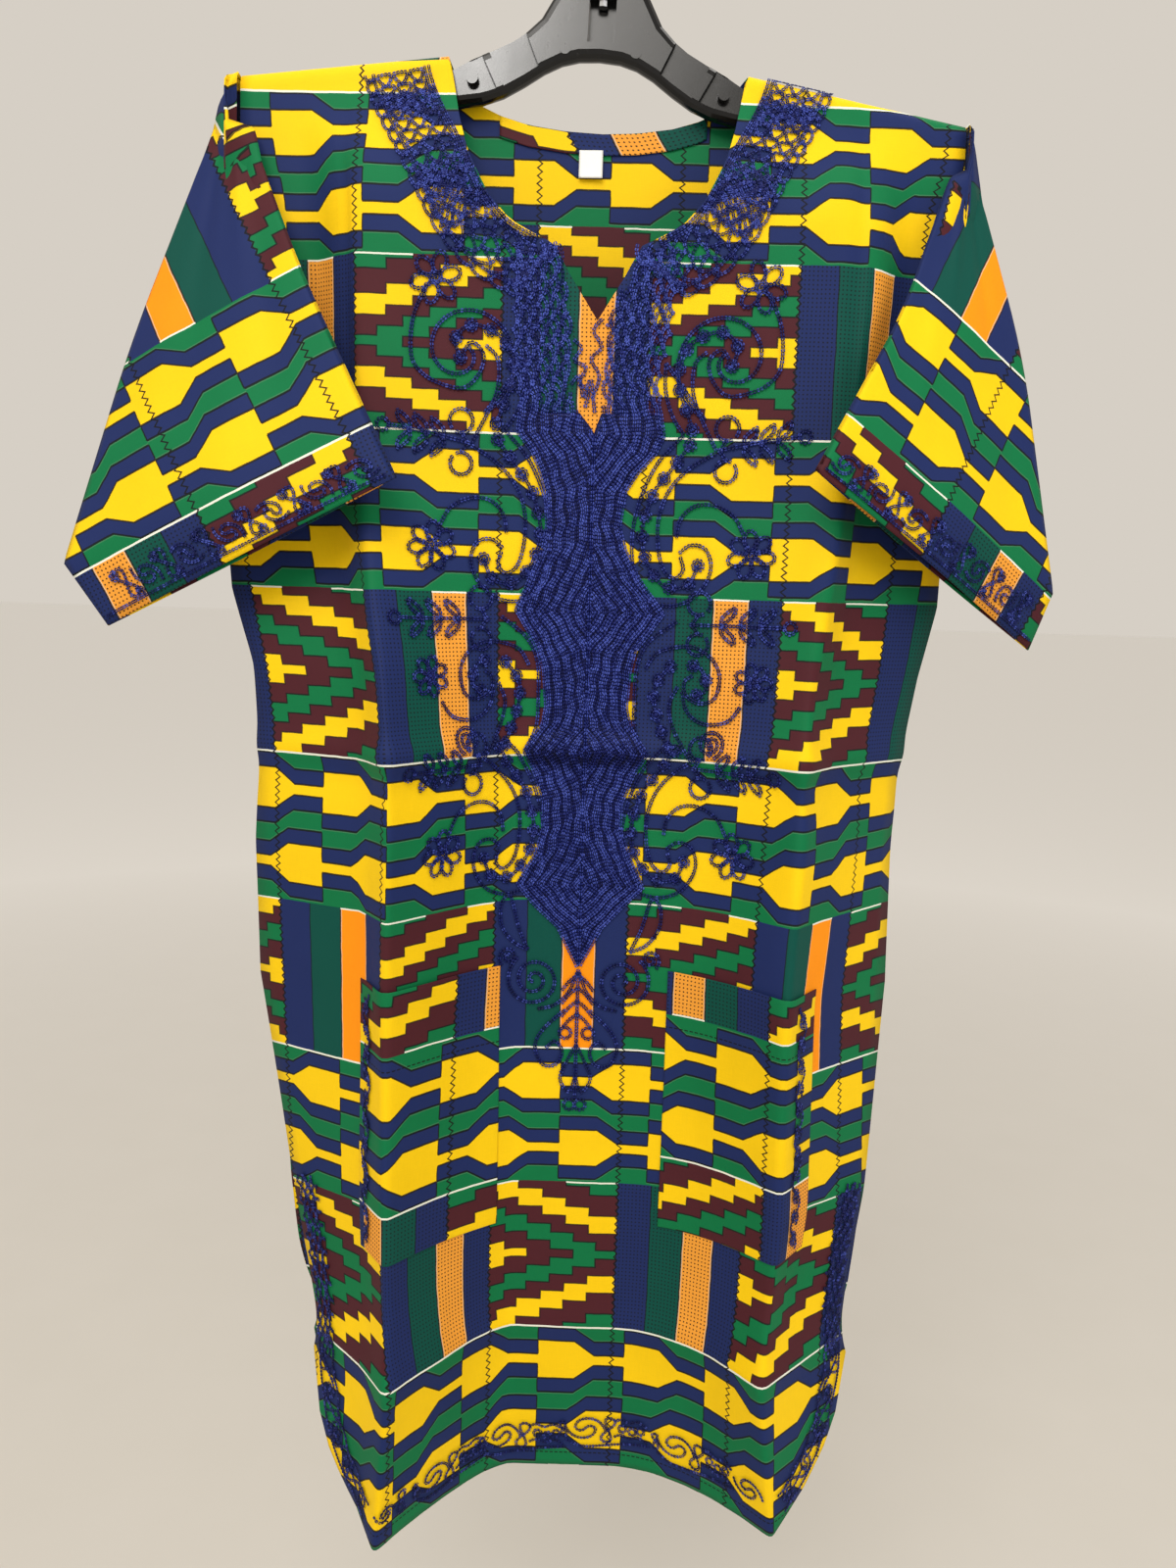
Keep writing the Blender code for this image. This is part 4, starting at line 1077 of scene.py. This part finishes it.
def neckLines(side):
    s, route = neckBand, neckRoute(side)
    length = route.lengths[-1] - s["end"]
    run = np.arange(0.0, length, 0.8)
    start = s["start"] * (1 - ease(run / s["startFade"]))
    width = mix(s["wide"], s["narrow"], ease(run / length * 1.6))
    lines = [route.at(run, start + inset) for inset in s["edgeRows"]]
    net, picot = run / s["netLength"], run / s["picot"] * 2 * math.pi
    for i in range(s["netRows"]):
        middle = start + s["netStart"] + s["netGap"] * i * (width / s["wide"])
        for turn in (0.0, math.pi):
            wave = s["netWave"] * np.sin(net * 2 * math.pi + turn + i * math.pi)
            lines.append(route.at(run + 1.2 * np.cos(net * 4 * math.pi), middle + wave))
    lines += [route.at(run, start + width - 1.5),
              route.at(run + 2.6 * np.sin(picot), start + width + 1.2 + 2.6 * np.cos(picot))]
    for first, last in s["close"]:
        # close-set patches between the open windows
        for k, at in enumerate(np.arange(first, last, s["closeGap"])):
            out = np.linspace(1.5, 34, 40) + float(np.interp(at, run, start))
            lines.append(route.at(at + 1.2 * np.sin(out / 1.3 + k), out))
    return lines


def hemUnit(u, v):
    waves = [smooth(*[(u + across, v + down) for across, down in places]) for places in (
        ((20, -6), (25, -8), (31, -6), (37, -8), (44, -5)), ((20, 6), (25, 4), (32, 6), (38, 4), (44, 7)))]
    return [*scroll(u, v, 25.0), *eight(u + 16.0, v + 1, 19.0, 12), *eight(u - 15.5, v + 1, 11.0, -8), *waves,
            ring(u + 26, v - 1, 2.6), ring(u + 33, v + 0.5, 2.6), ring(u + 39, v - 1, 2.6),
            smooth((u - 14, v + 9), (u - 2, v + 14), (u + 14, v + 13), (u + 26, v + 11), (u + 46, v + 9))]


def slitRoute(side):
    # Up beside the slit from the hem's corner, a little way in from the edge.
    crease, edge = float(front.crease(side, sizes["hem"])), float(front.edge(side, sizes["hem"]))
    share, down = np.linspace(1.0, 0.02, 30), np.arange(*hemMake["slit"], -4.0)
    low = np.stack([edge - share * (edge - crease), hemDown(share)], -1)
    high = np.stack([front.edge(side, down), down], -1)
    return Route(side, blurred(smooth(*np.concatenate([low[::5], high[::6]]), step=1.5), 4.0, 0))


hemMake = {
    # across and fall of each unit, from the row's height down the front
    "row": 984.7, "units": ((-104.0, 5.0), (-45.0, 4.0), (14.5, -2.0), (80.0, 0.0)),
    # beside the slit: where the motifs give way to a netted band, and the gap from one motif to the next
    "netted": 118, "first": 22.0, "gap": 27.0, "middle": 14.0, "slit": (910.0, 788.0),
}


def hemLines():
    s = hemMake
    lines = [line for across, fall in s["units"] for line in hemUnit(across, s["row"] + fall)]
    lines += (scroll(138.0, s["row"] + 1, 21.0) + scroll(-146.0, s["row"] + 5, 14.0)
              + eight(-132.0, s["row"] + 5, 16.0))
    for side in (-1, 1):
        route = slitRoute(side)
        turn = route.lengths[-1] - s["netted"]
        run = np.arange(14.0, route.lengths[-1] - 2, 0.8)
        lower, upper = run[run < turn], run[run >= turn]
        lines += [route.at(lower, 6.0), route.at(lower, 22.0 + 1.5 * np.sin(lower / 5))]
        for place in np.arange(s["first"], turn, s["gap"]):
            lines += scroll(*route.at(place, s["middle"]), 15.0, 80 * side, side)
            lines += eight(*route.at(place + s["gap"] / 2, s["middle"]), 17.0, 80 * side)
        lines += [route.at(upper + 1.7 * np.sin(upper / 1.9 + k),
                           6.2 + 2.7 * k + 1.5 * np.sin(upper / 2.1 + 2 * k)) for k in range(5)]
        picot = upper / 9 * 2 * math.pi
        lines.append(route.at(upper + 2.4 * np.cos(picot), 20.0 + 2.6 * np.sin(picot)))
    return lines


def pocketLines(which):
    side, lines = -1 if which == "left" else 1, []
    for i, down in enumerate(np.arange(662.0, 820.0, 15.0)):
        fold = float(front.crease(side, down))
        lines += scroll(side * (fold + 15.0), down, 10.0, 70, 1.0 if i % 2 else -1.0)
    down = np.arange(652.0, 822.0, 1.0)
    return lines + [np.stack([side * (front.crease(side, down) + 15 + 4.6 * np.sin(down / 15 * math.pi)),
                              down], -1)]


def mirrored(lines):
    return lines + [line * (-1.0, 1.0) for line in lines]


def cuffAt(which):
    # Places on the layer of a sleeve that shows: across from its inner fold, and up from the cuff's edge.
    shown = sleeveMake["layers"][0]
    grid = sleeveGrid(which)[0][:, :shown + 1]
    normals = turnOf(grid)
    normals *= np.where(normals[..., 1:2] > 0, -1.0, 1.0)
    up, width = lengthsOf(grid[::-1, shown // 2]), float(np.linalg.norm(grid[-1, -1] - grid[-1, 0]))

    def at(across, lift, out=0.0):
        place = (len(up) - 1 - np.interp(lift, up, np.arange(len(up))), across / width * shown)
        normal = unit(sampled(normals, *place))
        return sampled(grid, *place) + normal * np.asarray(out, float)[..., None], normal

    return at, width


def cuffLines(width):
    across = np.arange(4.0, width - 3, 1.0)
    lines = [np.stack([across, np.full(len(across), 4.2)], -1)]
    for i, place in enumerate(np.arange(15.0, width - 24, 29.0)):
        lines += scroll(place, 14.5, 17.0, 35, 1.0 if i % 2 else -1.0)
        lines += eight(place + 14.5, 15.0, 18.0, -14)
        lines += [ring(place + 9.6, 7.6, 2.2), ring(place + 19.4, 21.0, 2.4)]
    return lines


def makeThread(name, shaded=True):
    graph = Finish(name)
    place = graph.place()
    twist = graph.noise(place, 900.0, 2.0, 0.6)
    patch = graph.noise(place, 60.0, 3.0)
    if shaded:
        paintedTopLight, shade = graph.attribute("paintedTopLight", "Fac"), graph.attribute("shade", "Fac")
        # how lit each link is painted: its painted light by height, its shade (random tone with painted rib
        # and fold shade) and the twist noise's painted sparkle
        tone = paintedTopLight * 0.66 + shade * 0.44 + twist * 0.4 - 0.46
    else:
        # the ground stays mostly in the painted-shade blue, the shade in the gaps between cords
        tone = twist * 0.5 - 0.1
    tone = tone - (patch - 0.5) * 0.2
    # painted shade blue in the low tones, the thread's own blue in the middle, and a painted glint where the
    # tone runs high
    colour = graph.colour(threadMake["paintedShadeBlue"], (threadMake["mid"], tone.held()),
                          (threadMake["bright"], ((tone - 0.5) * 2.2).held() * 0.7))
    return graph.surface(base_color=colour, roughness=0.36 + twist * 0.2, specular_ior_level=0.16,
                         normal=graph.bump(twist, 0.0002, 0.5))


def makeStitch():
    # One link of chain stitch: two strands that swell apart and close again, lying along X.
    verts, faces, paintedTopLight = [], [], []
    for side in (-1, 1):
        base = len(verts)
        verts.append((-0.62, side * 0.02, 0.10))
        for x, y, r in ((-0.22, 0.27, 0.21), (0.30, 0.24, 0.23)):
            for k in range(4):
                angle = math.pi / 2 * k + math.pi / 4
                verts.append((x, side * y + r * math.cos(angle), 0.16 + r * math.sin(angle)))
        verts.append((0.66, side * 0.10, -0.05))
        # how lit each vertex is painted: high on the strands' tops as painted highlight, low at their sides
        # and ends as painted shade
        paintedTopLight += [0.25, 1.0, 1.0, 0.0, 0.0, 0.9, 0.9, 0.0, 0.0, 0.1]
        for k in range(4):
            near, next = base + 1 + k, base + 1 + (k + 1) % 4
            faces += [(base, next, near), (near, next, next + 4, near + 4), (base + 9, near + 4, next + 4)]
    mesh = meshOf("chain link", verts, faces)
    marked(mesh, "paintedTopLight", np.array(paintedTopLight))
    return bpy.data.objects.new("chain link", mesh)


def stitchTree():
    # Lays a copy of the stitch at each point, turned and sized by the point's own attributes.
    tree = bpy.data.node_groups.new("lay stitches", "GeometryNodeTree")
    for name, kind in (("Geometry", "Geometry"), ("Stitch", "Object"), ("Thread", "Material"),
                       ("Fullness", "Float")):
        tree.interface.new_socket(name, in_out="INPUT", socket_type="NodeSocket" + kind)
    tree.interface.new_socket("Geometry", in_out="OUTPUT", socket_type="NodeSocketGeometry")
    graph = Graph(tree)

    def given(name):
        return graph.node("NodeGroupInput", output=name)

    def own(name):
        return graph.node("GeometryNodeInputNamedAttribute", {"data_type": "FLOAT_VECTOR"}, {"Name": name},
                          "Attribute")

    size = graph.node("ShaderNodeVectorMath", {"operation": "SCALE"},
                      {0: own("grow"), "Scale": given("Fullness")})
    stitch = graph.node("GeometryNodeObjectInfo", None, {"Object": given("Stitch")}, "Geometry")
    laid = graph.node("GeometryNodeInstanceOnPoints", None, {
        "Points": given("Geometry"), "Instance": stitch, "Rotation": own("turn"), "Scale": size}, "Instances")
    plain = graph.node("GeometryNodeRealizeInstances", None, {"Geometry": laid}, "Geometry")
    dyed = graph.node("GeometryNodeSetMaterial", None, {"Geometry": plain, "Material": given("Thread")},
                      "Geometry")
    graph.put(tree.nodes.new("NodeGroupOutput").inputs["Geometry"], dyed)
    return tree


def stitched(name, lines, surface, kit, wide, tone):
    # Lays links along every line; surface turns chart places into points and the way they face.
    # tone is one for all the lines, or a list with one for each.
    tree, stitch, thread = kit
    s, rng, laid = threadMake, np.random.default_rng(threadMake["seed"]), []
    for number, line in enumerate(lines):
        points, _ = surface(line, 0.0)
        run = lengthsOf(points)
        count = max(int(round(run[-1] / s["pitch"])), 2)
        at = (np.arange(count) + 0.5) / count * run[-1]
        chart = onLine(at, run, line)
        centre, normal = surface(chart, s["lift"])
        way = onLine(at + 0.8, run, points) - onLine(at - 0.8, run, points)
        way -= normal * np.sum(way * normal, -1, keepdims=True)
        spread, middle, fall = s["spread"], tone, 0.0
        if isinstance(tone, list):
            spread, middle, fall = s["rowSpread"], tone[number], s["paintedFoldShadow"]
        shade = s["shade"] + spread * rng.uniform(-0.5, 0.5, count) + 0.5 * middle
        # painted shadow: links along the panel's fold are darkened
        shade = shade - fall * np.exp(-((chart[:, 1] - panelMake["fold"]) / 5) ** 2)
        laid.append((centre, unit(way), normal, shade))
    place, way, normal, shade = (np.concatenate(part) for part in zip(*laid))
    beside = np.cross(normal, way)
    lean = rng.normal(0.0, s["lean"], len(place))[:, None]
    way, beside = way + beside * lean, beside - way * lean
    turn = [tuple(Matrix(np.stack(axes, 1).tolist()).to_euler()) for axes in zip(way, beside, normal)]
    grow = np.array([s["pitch"], s["width"] * wide, s["height"]]) * mm
    grow = grow * (1 + rng.normal(0.0, s["uneven"], (len(place), 3)))
    mesh = meshOf(name, (place * mm).tolist(), [])
    for key, values in (("turn", np.array(turn)), ("grow", grow), ("shade", shade)):
        marked(mesh, key, values)
    obj = linked(name, mesh)
    modifier = obj.modifiers.new("stitches", "NODES")
    modifier.node_group = tree
    keys = {item.name: item.identifier for item in tree.interface.items_tree if item.in_out == "INPUT"}
    for key, value in (("Stitch", stitch), ("Thread", thread), ("Fullness", 1.0)):
        modifier[keys[key]] = value
    graph = bpy.context.evaluated_depsgraph_get()
    plain = bpy.data.meshes.new_from_object(obj.evaluated_get(graph), preserve_all_data_layers=True,
                                            depsgraph=graph)
    obj.modifiers.remove(modifier)
    obj.data = plain
    bpy.data.meshes.remove(mesh)
    print(name, len(place), "links", len(plain.polygons) * 4 // 3, "triangles")
    return finished(obj)


def onFront(line, out):
    return front.at(line[:, 0], line[:, 1], 0.45 + out)


def onPocket(line, out):
    return front.at(line[:, 0], line[:, 1], 1.6 + out)


def panelGround(side, thread):
    # The close stitching under the rows, as one thin layer, coloured mostly in the thread's painted-shade
    # blue for the shade in the gaps between cords.
    down = np.linspace(*panelMake["ground"], 150)
    outer, inner = panelEdges(down, side)
    share, down = np.meshgrid(np.linspace(0, 1, 18), down)
    across = side * mix(inner[:, None], np.maximum(outer - 0.9, inner + 0.1)[:, None], share)
    points, normals = front.at(across, down, panelMake["groundOut"])
    name = "panel_ground_" + ("left" if side < 0 else "right")
    ground = layered(name, points, normals, np.stack([across, down], -1), panelMake["groundWall"])
    return finished(ground, thread)


def makeEmbroidery():
    kit = (stitchTree(), makeStitch(), makeThread("royal blue chain stitch"))
    ground = makeThread("royal blue ground stitch and painted shade", shaded=False)
    grounds = [panelGround(side, ground) for side in (-1, 1)]
    work = {obj.name: obj for obj in grounds}
    rows, tones = panelRows()
    upper = upperScroll(270) + sprig(74, 320, 50, 9) + lowerScroll(320)
    lower = middleScroll(463) + sprig(62, 424, 60, 0) + sprig(68, 513, 52, -2) + lowerScroll(505)
    table = [
        # name, lines, what they lie on, width of a link, tone
        ("panel_rows", rows, onFront, 1.12, tones),
        ("neck_band", neckLines(-1) + neckLines(1), onFront, 1.0, 0.15),
        ("scrolls_upper", mirrored(upper), onFront, 1.2, -0.1),
        ("scrolls_lower", mirrored(lower) + mirrored(finial()), onFront, 1.2, -0.1),
        ("hem_scrolls", hemLines(), onFront, 0.95, -0.15),
        ("pocket_scrolls", pocketLines("left") + pocketLines("right"), onPocket, 1.0, 0.0),
    ]
    for which in sleeves:
        at, width = cuffAt(which)
        table.append(("cuff_scrolls_" + which, cuffLines(width),
                      lambda line, out, at=at: at(line[:, 0], line[:, 1], 0.45 + out), 1.0, 0.1))
    for name, lines, surface, wide, tone in table:
        work[name] = stitched(name, lines, surface, kit, wide, tone)
    bpy.data.objects.remove(kit[1])
    return work


work = makeEmbroidery()


# hanger finishes

def makePlastic():
    graph = Finish("black moulded plastic")
    place = graph.place()
    smear, grain = graph.noise(place, 38.0, 3.0), graph.noise(place, 900.0, 2.0)
    scuffs = (graph.noise(place, 260.0, 4.0, 0.7) > 0.66) * 0.16
    colour = graph.colour(fromScreen(8, 8, 9), (fromScreen(15, 15, 17), smear),
                          (fromScreen(70, 70, 72), scuffs))
    return graph.surface(base_color=colour, roughness=0.15 + smear * 0.12 + scuffs * 0.3,
                         normal=graph.bump(grain * 0.15 + smear, 0.0003, 0.14), specular_ior_level=0.36)


def makeWire():
    graph = Finish("bright plated wire")
    place = graph.place()
    drawn, cloudy = graph.noise(place, 420.0, 3.0), graph.noise(place, 60.0, 3.0)
    colour = graph.colour(fromScreen(196, 197, 200), (fromScreen(226, 226, 228), cloudy))
    return graph.surface(base_color=colour, metallic=1.0, roughness=0.14 + cloudy * 0.14,
                         normal=graph.bump(drawn, 0.00005, 0.3))


blackPlastic = makePlastic()
for node, finish in (("hanger_body", blackPlastic), ("hanger_hook", makeWire())):
    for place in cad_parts[node].material_slots:
        place.material = finish
slotWeb = {"half": 7.9, "top": -60.1, "bottom": -85.9, "thick": 1.4, "back": 4.9}


def makeSlotWeb():
    # the thin wall at the back of the slot, under the hook's head
    s = slotWeb
    bpy.ops.mesh.primitive_cube_add(size=1)
    obj = bpy.context.object
    obj.name = "slot_web"
    size = (2 * s["half"] * mm, s["thick"] * mm, (s["top"] - s["bottom"]) * mm, 1)
    obj.data.transform(Matrix.Diagonal(size))
    obj.data.transform(Matrix.Translation((0, s["back"] * mm, (s["top"] + s["bottom"]) / 2 * mm)))
    obj.data.transform(Matrix.Rotation(math.radians(sizes["tilt"]), 4, "Y"))
    finished(obj, blackPlastic)


makeSlotWeb()


# stage

lights = (
    # name, place, aim, size, power, colour
    ("key", (-0.35, -1.7, 1.05), (0, 0, -0.5), 1.3, 32.0, (1.0, 0.96, 0.9)),
    ("fill", (1.5, -1.4, -0.1), (0, 0, -0.5), 1.6, 7.0, (0.94, 0.97, 1.0)),
    ("top", (0.2, 0.5, 1.5), (0, 0, -0.5), 1.4, 14.0, (1.0, 0.97, 0.93)),
    # shows only in glossy things
    ("shine", (-0.40, -1.55, 0.68), (-0.1, 0, -0.05), 0.5, 20.0, (1.0, 0.98, 0.95)),
)
stageMake = {
    "size": 60, "height": -1.42, "floor": fromScreen(206, 202, 194), "grain": fromScreen(210, 206, 199),
    # the floor is painted lighter far from the middle, painted light where the lamps reach less
    "far": fromScreen(250, 249, 247), "room": fromScreen(214, 207, 197),
}


def makeStage():
    bpy.context.scene.view_settings.view_transform = "Standard"
    graph = Finish("pale floor")
    place = graph.place()
    x, y = graph.split(place)
    # painted light: far lightens the floor away from the middle, where the lamps light it less, so it looks
    # evenly pale
    grain, far = graph.noise(place, 9.0, 3.0), ((x * x + y * y) / 12.0).held()
    colour = graph.colour(stageMake["floor"], (stageMake["grain"], grain), (stageMake["far"], far))
    bpy.ops.mesh.primitive_plane_add(size=stageMake["size"], location=(0, 0, stageMake["height"]))
    floor = bpy.context.object
    floor.name = "floor"
    floor.data.materials.append(graph.surface(base_color=colour, roughness=0.9))
    world = bpy.data.worlds.new("pale room")
    bpy.context.scene.world = world
    world.use_nodes = True
    background = world.node_tree.nodes["Background"]
    background.inputs[0].default_value = (*stageMake["room"], 1)
    background.inputs[1].default_value = 1.0
    for name, place, aim, size, power, colour in lights:
        data = bpy.data.lights.new(name, "AREA")
        data.size, data.energy, data.color = size, power, colour
        lamp = linked(name, data)
        lamp.location = place
        lamp.rotation_euler = (Vector(aim) - Vector(place)).to_track_quat("-Z", "Y").to_euler()
        lamp.visible_diffuse = name != "shine"


# lens and sensor in mm, the way it looks down and its roll in degrees
cameraMake = {"sensor": 36.0, "lens": 27.0, "down": 9.88, "roll": 1.736, "place": (0.0027, -0.7646, -0.39805)}


def makeCamera():
    data = bpy.data.cameras.new("camera")
    data.sensor_fit, data.sensor_width, data.lens = "AUTO", cameraMake["sensor"], cameraMake["lens"]
    data.clip_start, data.clip_end = 0.01, 30.0
    camera = linked("camera", data)
    pitch, roll = math.radians(90 - cameraMake["down"]), math.radians(cameraMake["roll"])
    turn = Matrix.Rotation(pitch, 4, "X") @ Matrix.Rotation(roll, 4, "Z")
    camera.matrix_world = Matrix.Translation(cameraMake["place"]) @ turn
    bpy.context.scene.camera = camera


makeStage()
makeCamera()
